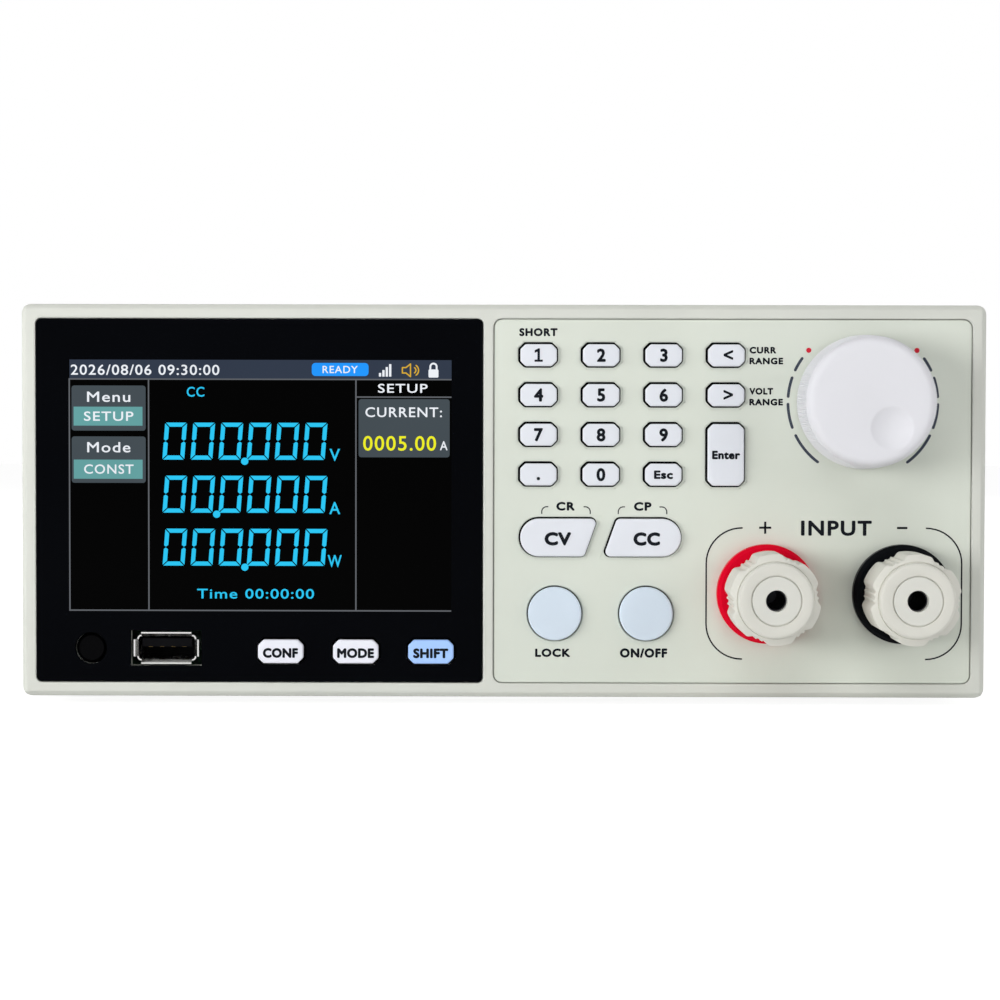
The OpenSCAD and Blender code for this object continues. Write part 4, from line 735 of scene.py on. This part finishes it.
# Screw-down caps: rows are inset, or out from the well, and rise
capLook = dict(lobes=6, wide=19.9, valleyDeep=1.0, tipWide=4.4, rootWide=7.2, ribWide=0.5, ribHigh=0.32, ribOff=0.65,
               draft=0.05, heelLong=3.2, heelStep=0.3, shoulder=0.8, noseWide=16.3, noseLong=2.2, noseStep=0.2,
               noseRound=0.8, groove=0.14, grooveOut=0.12, well=5.42, wellFoot=5.23, wellStep=0.4, wellDeep=5.7,
               bore=3.05, pocket=6.6, pocketDeep=0.9, soft=0.12, turns=480, blur=0.4,
               heelRows=((0.25, 0.0), (0.07, 0.08), (0.0, 0.25)), gripRows=((0.28, 0.0), (0.09, 0.1), (0.0, 0.35)),
               wellRows=((0.25, 0.0), (0.06, -0.06), (0.0, -0.25)), gripSteps=5, shoulderSteps=4, noseSteps=5)


def lobeRadius(angle):  # radius of the grip at an angle in degrees from a lobe's middle
    lobe, valley = capLook["wide"] / 2, capLook["wide"] / 2 - capLook["valleyDeep"]
    period = 360 / capLook["lobes"]
    fold = abs((angle + period / 2) % period - period / 2)
    tip = math.degrees(math.asin(capLook["tipWide"] / 2 / lobe))
    root = math.degrees(math.asin(capLook["rootWide"] / 2 / valley))
    if fold <= tip:
        return lobe
    if fold < root:
        return lobe - capLook["valleyDeep"] * (1 - math.cos(math.pi * (fold - tip) / (root - tip))) / 2
    ribAway = abs(fold - period / 2 + math.degrees(capLook["ribOff"] / valley))
    return valley + (capLook["ribHigh"] if ribAway < math.degrees(capLook["ribWide"] / 2 / valley) else 0.0)


def makeCap(node, body, turn):
    look, place = capLook, panelBox(node)
    front, back = place["front"], place["back"]
    angles = [360 * k / look["turns"] for k in range(look["turns"])]
    grip = [sum(lobeRadius(a + s * look["blur"]) for s in (-2, -1, 0, 1, 2)) / 5 for a in angles]
    lobe, nose, well, draft = look["wide"] / 2, look["noseWide"] / 2, look["well"], look["draft"]
    noseBack = front - look["noseLong"]
    shoulder = noseBack - look["shoulder"]

    def around(radii, out):
        spokes = [math.radians(a + turn) for a in angles]
        return [panelPoint(place["x"] + r * math.cos(a), place["z"] + r * math.sin(a), out)
                for r, a in zip(radii, spokes)]

    def circle(out, r):
        return around([r] * len(angles), out)

    def section(out, limit, inset=0.0):  # the lobes, softly held under a limit
        k = 1 / look["soft"]
        return around([nose - inset - math.log(math.exp(-k * (r - nose)) + math.exp(-k * (limit - nose))) / k
                       for r in grip], out)

    heel = lobe - look["valleyDeep"] - look["heelStep"]
    gripBack = back + look["heelLong"]
    rings = [circle(back + rise, heel - inset) for inset, rise in look["heelRows"]] + [circle(gripBack, heel)]
    rings += [section(gripBack + rise, lobe, inset) for inset, rise in look["gripRows"]]
    start = gripBack + look["gripRows"][-1][1]
    for k in range(1, look["gripSteps"] + 1):
        share = k / look["gripSteps"]
        rings.append(section(start + (shoulder - start) * share, lobe - draft * share))
    for k in range(1, look["shoulderSteps"] + 1):
        share = k / look["shoulderSteps"]
        limit = lobe - draft + (nose + look["noseStep"] - lobe + draft) * share
        rings.append(section(shoulder + look["shoulder"] * share, limit))
    rings += [circle(noseBack - look["groove"], nose + away) for away in (look["grooveOut"], 0.0)]
    edge = look["noseRound"]
    rings += [circle(front - edge + edge * s, nose - edge + edge * c) for c, s in quarter(look["noseSteps"])]
    rings += [circle(front + rise, well + away) for away, rise in look["wellRows"]]
    step, floor, pocketTop = front - look["wellStep"], front - look["wellDeep"], back + look["pocketDeep"]
    rings += [circle(out, r) for out, r in (
        (step, well), (step, look["wellFoot"]), (floor, look["wellFoot"]), (floor, look["bore"]),
        (pocketTop, look["bore"]), (pocketTop, look["pocket"]), (back, look["pocket"]))]
    handOver(loft(node + "_grip", rings, "capIvory", tube=True, sharp=40), body, "cap_ivory", node)


makeCap("post_cap_plus", "plus_cap", 37)
makeCap("post_cap_minus", "minus_cap", 26)
print("caps:", capLook["lobes"], "lobes each")

# Screws: the CAD group gives their places and facings
screwLook = dict(head=2.7, headHigh=1.7, dome=0.75, domeSteps=6, flat=1.6, shank=1.4, shankLong=5.0, arm=1.35,
                 armWide=0.32, recess=0.9, recessFoot=0.75, turns=48)


def screwPlaces():
    shape = bmesh.new()
    shape.from_mesh(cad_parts["screws"].data)
    bmesh.ops.remove_doubles(shape, verts=shape.verts, dist=1e-6)
    places, facings, seen = [], [], set()
    for seed in shape.verts:
        if seed in seen:
            continue
        island, queue = [], [seed]
        seen.add(seed)
        while queue:
            vert = queue.pop()
            island.append(vert.co.copy())
            for other in (e.other_vert(vert) for e in vert.link_edges):
                if other not in seen:
                    seen.add(other)
                    queue.append(other)
        low = Vector([min(p[k] for p in island) for k in range(3)])
        high = Vector([max(p[k] for p in island) for k in range(3)])
        axis = max(range(3), key=lambda k: high[k] - low[k])
        mid = (low + high) / 2

        def away(p):
            return math.hypot(p[axis - 1] - mid[axis - 1], p[axis - 2] - mid[axis - 2])
        seat = max(island, key=away)[axis]
        facing = Vector((0, 0, 0))
        facing[axis] = 1 if seat > mid[axis] else -1
        place = mid.copy()
        place[axis] = seat
        places.append(place)
        facings.append(facing)
    shape.free()
    return places, facings


def screwStamp():
    look = screwLook

    def circle(r, high):
        return lift(disc(0, 0, r, look["turns"]), high, stampPoint)

    def cross(share, high):
        ring = []
        for p in disc(0, 0, 1, look["turns"]):
            c, s = max(abs(p.x), 1e-6), max(abs(p.y), 1e-6)
            r = max(min(look["arm"] / c, look["armWide"] / s), min(look["armWide"] / c, look["arm"] / s)) * share
            ring.append(stampPoint(r * p.x, r * p.y, high))
        return ring

    head, top, dome = look["head"], look["headHigh"], look["dome"]
    rings = [circle(look["shank"], -look["shankLong"]), circle(look["shank"], 0), circle(head, 0)]
    rings += [circle(head - dome + dome * c, top - dome + dome * s) for c, s in quarter(look["domeSteps"])[:-1]]
    rings += [circle(look["flat"], top), cross(1.0, top), cross(look["recessFoot"], top - look["recess"])]
    return loft("screw_stamp", rings, "screwSteel", sharp=40)


places, facings = screwPlaces()
screws = stampPiece("cross_screws", screwStamp(), places, facings, "screwSteel")
handOver(screws, "instrument", "screw_steel", "screws")
print("screws:", len(places))

# Contacts in the front socket: how far up the tongue and how far in
contactLook = dict(count=4, pitch=2.5, wide=1.0, thick=0.12, long=7.5, up=0.14, inside=0.4, edge=0.04)


def makeContacts():
    look, socket = contactLook, panelBox("usb_tongue")
    stamp = barStamp("contact_stamp", (look["wide"], look["thick"], look["long"]), look["edge"], "contactGold")
    places = [panelPoint(socket["x"] + (k - (look["count"] - 1) / 2) * look["pitch"], socket["z"] + look["up"],
                         socket["front"] - look["inside"] - look["long"] / 2) for k in range(look["count"])]
    stampRow("socket_contacts", stamp, places, forward, "contactGold", "stud_brass")


makeContacts()

# Rear sockets
portLook = dict(x=-22.0, inside=-13.2, shellWall=0.5)
serialLook = dict(z=65.6, wide=17.0, high=8.4, lean=1.6, innerLean=1.44, round=1.7, out=6.0, plate=(31.0, 12.6),
                  plateBack=-2.2, plateFront=-1.22, floor=0.6, insert=1.6, insertFit=0.1, pinPitch=2.77, pinRow=2.84,
                  pin=0.5, pinTurns=16, pinRows=((1, -0.5), (1, 3.0), (0.8, 3.25), (0.4, 3.4)), nutOff=12.5,
                  nutWide=2.75, nutRound=0.3, nutHigh=4.4, nutBore=1.3, nutFloor=0.6, nutRim=0.2)
squareLook = dict(z=43.6, wide=12.0, high=10.9, out=0.6, deep=-9.2, round=0.9, innerRound=0.6, lining=0.8,
                  liningFit=0.04, liningOut=-0.2, liningLean=0.9, liningRound=0.5, floor=1.0, tongue=(5.6, 3.2),
                  tongueOut=-2.2, tongueRound=0.3, contact=(1.2, 0.24, 6.0), contactEdge=0.05, contactOut=-6.0)
blockLook = dict(z=21.6, wide=21.0, high=9.0, out=3.0, ways=4, fit=0.08, round=0.4, rim=0.3, hole=(3.4, 4.0),
                 holeDeep=-4.0, clamp=(3.3, 3.9, 1.2), clampEdge=0.2, clampUp=0.62, screwUp=3.2, screwIn=0.3,
                 screwSize=0.36)


def rearBox(z, wide, high, radius=0.0):  # a box's outline over the column of sockets
    x = portLook["x"]
    return rectangle(x - wide / 2, x + wide / 2, z - high / 2, z + high / 2, radius)


def makeSerial():
    p, x, wall, inside = serialLook, portLook["x"], portLook["shellWall"], portLook["inside"]
    z, wide, high = p["z"], p["wide"], p["high"]
    outer = sides(wide, high, p["lean"]), p["round"]
    inner = sides(wide - 2 * wall, high - 2 * wall, p["innerLean"]), p["round"] - wall
    shell = cup("serial_shell", "shellSteel", outer, inner, inside, p["out"], p["floor"], x, z)
    handOver(shell, "instrument", "port_metal", "interface_ports")
    slabPiece("serial_plate", rearBox(z, *p["plate"]), p["plateBack"], p["plateFront"], "portMetal", "port_metal")
    insert = [Vector((x, z)) + q for q in roundedOutline(inner[0], [inner[1]] * 4, -p["insertFit"])]
    slabPiece("serial_insert", insert, p["floor"], p["insert"], "keyRubber", "black_plastic")
    pins = [rearPoint(x + (k - (4 - row) / 2) * p["pinPitch"], z + (0.5 - row) * p["pinRow"], p["insert"])
            for row in (0, 1) for k in range(5 - row)]
    rings = [lift(disc(0, 0, p["pin"] * share, p["pinTurns"]), out, stampPoint) for share, out in p["pinRows"]]
    stamp = loft("pin_stamp", rings, "contactGold", sharp=60)
    stampRow("serial_pins", stamp, pins, rearward, "contactGold", "stud_brass")
    bore = p["nutBore"] / math.cos(math.radians(30))  # a hexagon rounded by its bore is a circle
    shapes = [([tuple(q) for q in disc(0, 0, r, 6)], soft) for r, soft in ((p["nutWide"], p["nutRound"]),
                                                                          (bore, p["nutBore"]))]
    stamp = cup("nut_stamp", "screwSteel", *shapes, 0.0, p["nutHigh"], p["nutFloor"], point=stampPoint,
                rim=p["nutRim"])
    nuts = [rearPoint(x + side * p["nutOff"], z, 0.0) for side in (-1, 1)]
    stampRow("serial_nuts", stamp, nuts, rearward, "screwSteel", "screw_steel")


def makeSquareSocket():
    p, x, wall, inside = squareLook, portLook["x"], portLook["shellWall"], portLook["inside"]
    z, wide, high, deep = p["z"], p["wide"], p["high"], p["deep"]
    floor, thick, fit = deep + p["floor"], 2 * (wall + p["lining"]), 2 * wall + p["liningFit"]
    inner = sides(wide - 2 * wall, high - 2 * wall), p["innerRound"]
    shell = cup("square_shell", "shellSteel", (sides(wide, high), p["round"]), inner, inside, p["out"], deep, x, z)
    handOver(shell, "instrument", "port_metal")
    lining = cup("square_lining", "moulding", (sides(wide - fit, high - fit), p["innerRound"]),
                 (sides(wide - thick, high - thick, p["liningLean"]), p["liningRound"]), deep, p["liningOut"], floor,
                 x, z)
    handOver(lining, "instrument", "black_plastic")
    tongue = rearBox(z, *p["tongue"], p["tongueRound"])
    slabPiece("square_tongue", tongue, floor, p["tongueOut"], "transistorBlack", "black_plastic")
    w, h = p["tongue"][0] / 2, p["tongue"][1] / 2
    places = [rearPoint(x + side * w / 2, z + level * h, p["contactOut"]) for side in (-1, 1) for level in (-1, 1)]
    stamp = barStamp("contact_stamp", p["contact"], p["contactEdge"], "contactGold")
    stampRow("square_contacts", stamp, places, rearward, "contactGold", "stud_brass")


def makeTerminals():
    p, z = blockLook, blockLook["z"]
    step = p["wide"] / p["ways"]
    middles = [portLook["x"] + (k - (p["ways"] - 1) / 2) * step for k in range(p["ways"])]
    way = sides(step - p["fit"], p["high"]), p["round"]
    stamp = cup("way_stamp", "moulding", way, (sides(*p["hole"]), p["round"]), portLook["inside"], p["out"],
                p["holeDeep"], point=stampPoint, rim=p["rim"])
    stampRow("terminal_block", stamp, [rearPoint(x, z, 0.0) for x in middles], rearward, "moulding", "black_plastic")
    stamp = barStamp("clamp_stamp", p["clamp"], p["clampEdge"], "shellSteel")
    clamps = [rearPoint(x, z, p["holeDeep"] + p["clampUp"]) for x in middles]
    stampRow("terminal_clamps", stamp, clamps, rearward, "shellSteel", "port_metal")
    heads = [rearPoint(x, z + p["screwUp"], p["out"] - p["screwIn"]) for x in middles]
    stampRow("terminal_screws", screwStamp(), heads, rearward, "screwSteel", "screw_steel", p["screwSize"])


makeSerial()
makeSquareSocket()
makeTerminals()

# Plated sleeves over the mains inlet's three pins
inletLook = dict(x=-74.0, z=41.6, pins=((-7, -2), (7, -2), (0, 2)), size=(2.12, 4.12, 11.6), middle=-8.1, edge=0.06)
inletPins = [rearPoint(inletLook["x"] + x, inletLook["z"] + z, inletLook["middle"]) for x, z in inletLook["pins"]]
sleeve = barStamp("sleeve_stamp", inletLook["size"], inletLook["edge"], "shellSteel")
stampRow("inlet_pins", sleeve, inletPins, rearward, "shellSteel", "bright_steel")
print("rear sockets: serial, square, terminals and inlet pins")

# Fan wheel
fanLook = dict(blades=7, hub=16.0, hubRound=2.0, hubSteps=5, front=-18.6, back=-3.2, pin=1.5, pinLong=5.0, turns=72,
               dishRows=((10.5, 0.0), (10.2, 0.4), (4.0, 0.4)), root=15.0, tip=37.0, bladeFront=-17.6, bladeBack=-4.2,
               sweep=38, camber=7, lean=9, thick=1.6, edgeThick=0.3, tipTrim=0.09, start=71, rows=12, columns=12)


def bladeStamp():  # one blade standing on the wheel's axis, root to tip
    look = fanLook
    shares = [k / look["columns"] for k in range(look["columns"] + 1)]
    rings = []
    for row in range(look["rows"] + 1):
        reach = row / look["rows"]
        r = look["root"] + (look["tip"] - look["root"]) * reach
        trim = look["tipTrim"] * reach ** 5  # rounded tip
        upper, lower = [], []
        for s in shares:
            along = trim + (1 - 2 * trim) * s
            turn = look["sweep"] * (0.5 - along) + look["camber"] * math.sin(math.pi * along)
            turn += look["lean"] * reach ** 2
            fat = look["edgeThick"] + (1 - look["edgeThick"]) * math.sin(math.pi * s) ** 0.5
            half = math.degrees(look["thick"] / 2 / r) * fat
            y = look["bladeFront"] + (look["bladeBack"] - look["bladeFront"]) * along
            for side, angle in ((upper, turn + half), (lower, turn - half)):
                side.append(Vector((r * math.sin(math.radians(angle)), y, r * math.cos(math.radians(angle)))) * mm)
        rings.append(upper + lower[::-1])
    return loft("blade_stamp", rings, "moulding", sharp=60)


def makeFan():
    look = fanLook
    low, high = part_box("fan_frame")
    x, z = (low.x + high.x) / 2 / mm, (low.z + high.z) / 2 / mm

    def circle(r, out):
        return lift(disc(x, z, r, look["turns"]), out, rearPoint)

    hub, soft, back, pin = look["hub"], look["hubRound"], look["back"], look["pin"]
    rings = [circle(pin, look["front"] - look["pinLong"]), circle(pin, look["front"]), circle(hub, look["front"])]
    rings += [circle(hub - soft + soft * c, back - soft + soft * s) for c, s in quarter(look["hubSteps"])]
    rings += [circle(r, back - deep) for r, deep in look["dishRows"]]
    handOver(loft("fan_hub", rings, "moulding", sharp=40), "fan_rotor", "black_plastic", "fan_rotor")
    turns = [math.radians(look["start"] + 360 * k / look["blades"]) for k in range(look["blades"])]
    facings = [Vector((math.sin(a), 0, math.cos(a))) for a in turns]
    blades = stampPiece("fan_blades", bladeStamp(), [rearPoint(x, z, 0.0)] * look["blades"], facings, "moulding")
    handOver(blades, "fan_rotor", "black_plastic")


makeFan()
print("fan:", fanLook["blades"], "blades")

# Display: layers stand a hair in front of the window
window = panelBox("display_window")
screenLook = dict(left=-96.5, right=-11.5, bottom=-24.7, top=31.25, titleBottom=27.05, leftLine=-78.75,
                  rightLine=-32.7, line=0.3, sunk=0.06, step=0.025, boldShare=0.014, spacing=1.12, iconLine=0.28,
                  shackleLine=0.4)


def layer(k):  # back and front of a display layer
    return window["front"] - screenLook["sunk"], window["front"] + screenLook["step"] * (k + 1)


screen = {name: bmesh.new() for name in list(litColours) + ["screenGlass"]}
s, line = screenLook, screenLook["line"] / 2
plates = [  # colour, left, right, bottom, top, rounding and layer
    ("screenGlass", s["left"], s["right"], s["bottom"], s["top"], 0, 0),
    ("litBar", s["left"] + 0.2, s["right"], s["titleBottom"], s["top"], 0, 1),
    ("litLine", s["rightLine"], s["right"], 22.9, 23.2, 0, 1),
    ("litGrey", -95.85, -79.4, 15.5, 25.5, 0.6, 1), ("litGrey", -95.85, -79.4, 3.9, 14.2, 0.6, 1),
    ("litTeal", -95.4, -80.1, 16.6, 20.8, 0, 2), ("litTeal", -95.4, -80.1, 4.8, 9.05, 0, 2),
    ("litGrey", -32.1, -11.9, 9.7, 22.6, 0.6, 1), ("litBlue", -42.5, -29.9, 27.7, 30.6, 0.8, 2),
    ("litWhite", -16.6, -14.4, 27.4, 29.2, 0.25, 2),  # padlock
]
plates += [("litWhite", -27.6 + 0.75 * k, -27.1 + 0.75 * k, 27.6, 28.4 + 0.65 * k, 0, 2) for k in range(4)]  # level
plates += [("litLine", x - line, x + line, s["bottom"] + 0.1, s["titleBottom"], 0, 1)
           for x in (s["left"] + 0.15, s["leftLine"], s["rightLine"])]
plates += [("litLine", s["left"], s["right"], z - line, z + line, 0, 2)
           for z in (s["titleBottom"] - 0.1, s["bottom"] + 0.25)]
for ink, left, right, bottom, top, radius, k in plates:
    addSlab(screen[ink], rectangle(left, right, bottom, top, radius), *layer(k))

# Drawn icons: a loudspeaker and the padlock's shackle
speaker = [(-22.4, 28.4), (-21.6, 28.4), (-20.6, 27.6), (-20.6, 30.4), (-21.6, 29.6), (-22.4, 29.6)]
soundLines = [[Vector(a), Vector(b)] for a, b in zip(speaker, speaker[1:] + speaker[:1])]
for path in soundLines + [arc(-20.1, 29.0, r, -55, 55) for r in (0.7, 1.3)]:
    addStroke(screen["litAmber"], path, s["iconLine"], *layer(2), True)
shackle = [Vector((-16.2, 29.1)), *arc(-15.5, 29.8, 0.7, 180, 0), Vector((-14.8, 29.1))]
addStroke(screen["litWhite"], shackle, s["shackleLine"], *layer(2))

# Words on the display: colour, words, place, height and width
screenWords = [
    ("litWhite", "2026/08/06 09:30:00", -79.5, 29.0, 2.3, 33.0), ("litWhite", "READY", -36.2, 29.15, 1.6, 7.8),
    ("litWhite", "Menu", -87.6, 23.0, 2.3, 9.6), ("litWhite", "SETUP", -87.6, 18.7, 2.1, 11.0),
    ("litWhite", "Mode", -87.6, 11.8, 2.3, 9.6), ("litWhite", "CONST", -87.6, 6.95, 2.1, 11.0),
    ("litCyan", "CC", -68.3, 24.15, 2.2, 3.9), ("litCyan", "V", -37.4, 10.2, 2.7, 2.3),
    ("litCyan", "A", -37.4, -1.6, 2.7, 2.4), ("litCyan", "W", -37.4, -13.4, 2.7, 3.1),
    ("litCyan", "Time 00:00:00", -55.0, -20.7, 2.2, 26.0), ("litWhite", "SETUP", -22.3, 25.0, 2.0, 11.0),
    ("litWhite", "CURRENT:", -22.1, 19.7, 2.2, 17.0), ("litYellow", "0005.00", -23.0, 12.8, 3.3, 16.2),
    ("litWhite", "A", -13.2, 12.3, 2.0, 1.7),
]
for ink, words, x, z, high, wide in screenWords:
    addText(screen[ink], words, x, z, high, wide, *layer(3), bold=s["boldShare"] * high, spacing=s["spacing"])

# Seven-segment noughts
digitLook = dict(wide=4.85, high=8.22, stroke=0.92, gap=0.17, lean=0.08, first=-72.95, pitch=6.24, count=6, layer=3,
                 rows=(13.2, 1.42, -10.36), dotRadius=0.81, dots=((-57.4, 8.75), (-63.65, -3.03), (-57.4, -14.8)))


def noughtStamp():
    w, h, t, g = digitLook["wide"] / 2, digitLook["high"] / 2, digitLook["stroke"], digitLook["gap"]
    bar = [(g - w, h), (w - g, h), (w - t - g, h - t), (t + g - w, h - t)]
    upright = [(-w, h - g), (t - w, h - t - g), (t - w, g + 0.35 * t), (0.45 * t - w, g / 2), (-w, g + 0.25 * t)]
    shape = bmesh.new()
    for outline, flips in ((bar, (1,)), (upright, (1, -1))):
        for flipX, flipY in ((a, b) for a in flips for b in (1, -1)):
            points = [Vector((flipX * px + digitLook["lean"] * flipY * py, flipY * py)) for px, py in outline]
            addSlab(shape, points, -screenLook["sunk"], screenLook["step"] * digitLook["layer"], stampPoint)
    return closeShape(shape, "nought_stamp", "litCyan")


digitPlaces = [panelPoint(digitLook["first"] + k * digitLook["pitch"], z, window["front"])
               for z in digitLook["rows"] for k in range(digitLook["count"])]
stampRow("screen_digits", noughtStamp(), digitPlaces, forward, "litCyan", "window_acrylic")
for x, z in digitLook["dots"]:
    addSlab(screen["litCyan"], disc(x, z, digitLook["dotRadius"]), *layer(4))
for name, shape in screen.items():
    handOver(closeShape(shape, "screen_" + name, name), "instrument", "window_acrylic")
print("display:", len(screenWords), "words,", len(digitPlaces), "digits")

# Print on the keypad overlay: words, place, height, width
overlay = panelBox("keypad_overlay")
printLook = dict(sunk=0.05, proud=0.025, bracketLine=0.33, keyLine=0.24, boldMost=0.15, boldShare=0.068, spacing=1.15,
                 dashRadius=16.6, dashWide=0.62, dotRadius=0.57)
ink = overlay["front"] - printLook["sunk"], overlay["front"] + printLook["proud"]
printWords = [
    ("SHORT", 7.75, 37.5, 1.8, 8.5), ("CR", 13.86, -1.1, 1.95, 4.1), ("CP", 31.0, -1.1, 1.95, 3.9),
    ("LOCK", 11.08, -33.72, 1.9, 7.8), ("ON/OFF", 31.3, -33.72, 2.1, 10.5), ("INPUT", 74.0, -5.85, 3.4, 15.7),
]
printLeft = [("CURR", 54.54, 33.6, 1.5, 5.9), ("RANGE", 54.54, 31.2, 1.5, 7.46), ("VOLT", 54.54, 24.5, 1.5, 5.27),
             ("RANGE", 54.54, 22.1, 1.5, 7.46)]
printInk = {name: bmesh.new() for name in ("inkDark", "inkSlate", "inkRed")}
dark = printInk["inkDark"]
for align, rows in (("middle", printWords), ("left", printLeft)):
    for words, x, z, high, wide in rows:
        bold = min(printLook["boldShare"] * high, printLook["boldMost"])
        addText(dark, words, x, z, high, wide, *ink, bold, printLook["spacing"], align)
for plate in ((56.85, 59.55, -6.0, -5.52), (57.96, 58.44, -7.11, -4.41), (87.45, 89.75, -6.0, -5.52)):
    addSlab(dark, rectangle(*plate), *ink)  # plus and minus

# Brackets: round the input, and over the two mode keys
frameLook = dict(left=45.15, right=101.85, leftEnd=53.2, rightEnd=93.85, corner=7.9, top=-13.72, bottom=-27.1,
                 topEnd=-5.82, bottomEnd=-35.0)
hookLook = dict(corner=1.1, middle=-2.3, foot=-2.8, top=-1.2, steps=8,
                ends=((8.58, 10.04), (19.35, 17.88), (25.57, 27.04), (36.34, 34.72)))
p = frameLook
for turn, edge, end in ((1, p["left"], p["leftEnd"]), (-1, p["right"], p["rightEnd"])):
    corner, start = edge + turn * p["corner"], 90 + 90 * turn
    path = [Vector((end, p["topEnd"])), *arc(corner, p["top"], p["corner"], 90, start),
            *arc(corner, p["bottom"], p["corner"], start, 90 + 180 * turn), Vector((end, p["bottomEnd"]))]
    addStroke(dark, path, printLook["bracketLine"], *ink)
p = hookLook
for outer, inner in p["ends"]:
    turn = 1 if inner > outer else -1
    path = [Vector((outer, p["foot"])), *arc(outer + turn * p["corner"], p["middle"], p["corner"], 90 + 90 * turn, 90,
                                             p["steps"]), Vector((inner, p["top"]))]
    addStroke(dark, path, printLook["keyLine"], *ink)

# Scale round the knob
for start, end in ((144.5, 154.8), (161.2, 175.8), (181.7, 199.9), (206.6, 233.2)):
    for a, b in ((start, end), (180 - start, 180 - end)):
        dash = arc(dialX, dialZ, printLook["dashRadius"], a, b)
        addStroke(printInk["inkSlate"], dash, printLook["dashWide"], *ink, True)
for x, z in ((67.65, 33.6), (91.59, 33.6)):
    addSlab(printInk["inkRed"], disc(x, z, printLook["dotRadius"]), *ink)
for name, shape in printInk.items():
    handOver(closeShape(shape, "print_" + name, name), "instrument", "overlay_film")
print("print:", len(printWords + printLeft), "words")

# Floor, light and camera
floorLook = dict(size=6.0, shade=0.4, glow=1.5, paper=(0.95, 0.95, 0.95, 1))
lightLook = dict(ambient=0.2, white=1.0)
lamps = {
    "leftLight": dict(place=(-0.8, -0.65, 0.1), aim=(0.0, -0.13, 0.04), size=0.6, watts=6.3),
    "rightLight": dict(place=(0.9, -0.65, 0.3), aim=(0.0, -0.13, 0.05), size=0.6, watts=2.6),
    "topLight": dict(place=(-0.1, -0.85, 0.9), aim=(0.0, -0.2, 0.0), size=0.8, watts=2.7),
    "lowLight": dict(place=(-0.35, -0.62, 0.02), aim=(0.0, -0.16, 0.02), size=0.3, watts=0.9),
    "rearLight": dict(place=(0.4, 1.0, 0.7), aim=(0.0, 0.15, 0.05), size=0.9, watts=5.0),
}


def seenRays(tree):  # 1 for rays that show the background itself
    path = addNode(tree, "ShaderNodeLightPath").outputs
    total = path["Is Camera Ray"]
    for name in ("Is Glossy Ray", "Is Transmission Ray"):
        total = addNode(tree, "ShaderNodeMath", {0: total, 1: path[name]}, operation="MAXIMUM")
    return total


def whiteWorld():
    world = bpy.data.worlds.new("studio")
    world.use_nodes = True
    bpy.context.scene.world = world
    tree = world.node_tree
    light = tree.nodes["Background"]
    setSockets(tree, light, {"Color": (1, 1, 1, 1), "Strength": lightLook["ambient"]})
    backdrop = addNode(tree, "ShaderNodeBackground", {"Color": (1, 1, 1, 1), "Strength": lightLook["white"]})
    mix = addNode(tree, "ShaderNodeMixShader", {"Fac": seenRays(tree), 1: light, 2: backdrop})
    setSockets(tree, tree.nodes["World Output"], {"Surface": mix})


def paleFloor():
    half = floorLook["size"] / 2
    mesh = bpy.data.meshes.new("floor")
    mesh.from_pydata([(-half, -half, 0), (half, -half, 0), (half, half, 0), (-half, half, 0)], [], [(0, 1, 2, 3)])
    material = bpy.data.materials.new("floorPaper")
    material.use_nodes = True
    tree = material.node_tree
    tree.nodes.remove(tree.nodes["Principled BSDF"])
    paper = addNode(tree, "ShaderNodeBsdfDiffuse", {"Color": floorLook["paper"]})
    glow = addNode(tree, "ShaderNodeEmission", {"Strength": floorLook["glow"]})
    share = addNode(tree, "ShaderNodeMath", {0: seenRays(tree), 1: 1 - floorLook["shade"]}, operation="MULTIPLY")
    mix = addNode(tree, "ShaderNodeMixShader", {"Fac": share, 1: paper, 2: glow})
    setSockets(tree, tree.nodes["Material Output"], {"Surface": mix})
    mesh.materials.append(material)
    linkPiece("floor", mesh)


def hangLamp(name, place, aim, size, watts):
    lamp = bpy.data.lights.new(name, "AREA")
    lamp.shape = "DISK"
    lamp.size = size
    lamp.energy = watts
    holder = bpy.data.objects.new(name, lamp)
    holder.location = place
    holder.rotation_euler = (Vector(aim) - Vector(place)).to_track_quat("-Z", "Y").to_euler()
    holder.visible_glossy = False
    holder.visible_camera = False
    bpy.context.scene.collection.objects.link(holder)


whiteWorld()
paleFloor()
for name, lamp in lamps.items():
    hangLamp(name, **lamp)

# Camera as the photograph was taken: place before the panel's middle, tilt in degrees
cameraLook = dict(place=(2.7, 17.8, 568.1), tilt=(-1.767, -0.116, 0.346), lens=92.17, sensor=36)
camera = bpy.data.objects.new("camera", bpy.data.cameras.new("camera"))
camera.data.lens = cameraLook["lens"]
camera.data.sensor_width = cameraLook["sensor"]
turned = Euler([math.radians(a) for a in cameraLook["tilt"]]).to_matrix() @ Matrix.Rotation(math.pi / 2, 3, "X")
camera.matrix_world = Matrix.Translation(panelPoint(*cameraLook["place"])) @ turned.to_4x4()
bpy.context.scene.collection.objects.link(camera)
bpy.context.scene.camera = camera
bpy.context.scene.view_settings.view_transform = "Standard"
print("camera, floor and", len(lamps), "lamps")
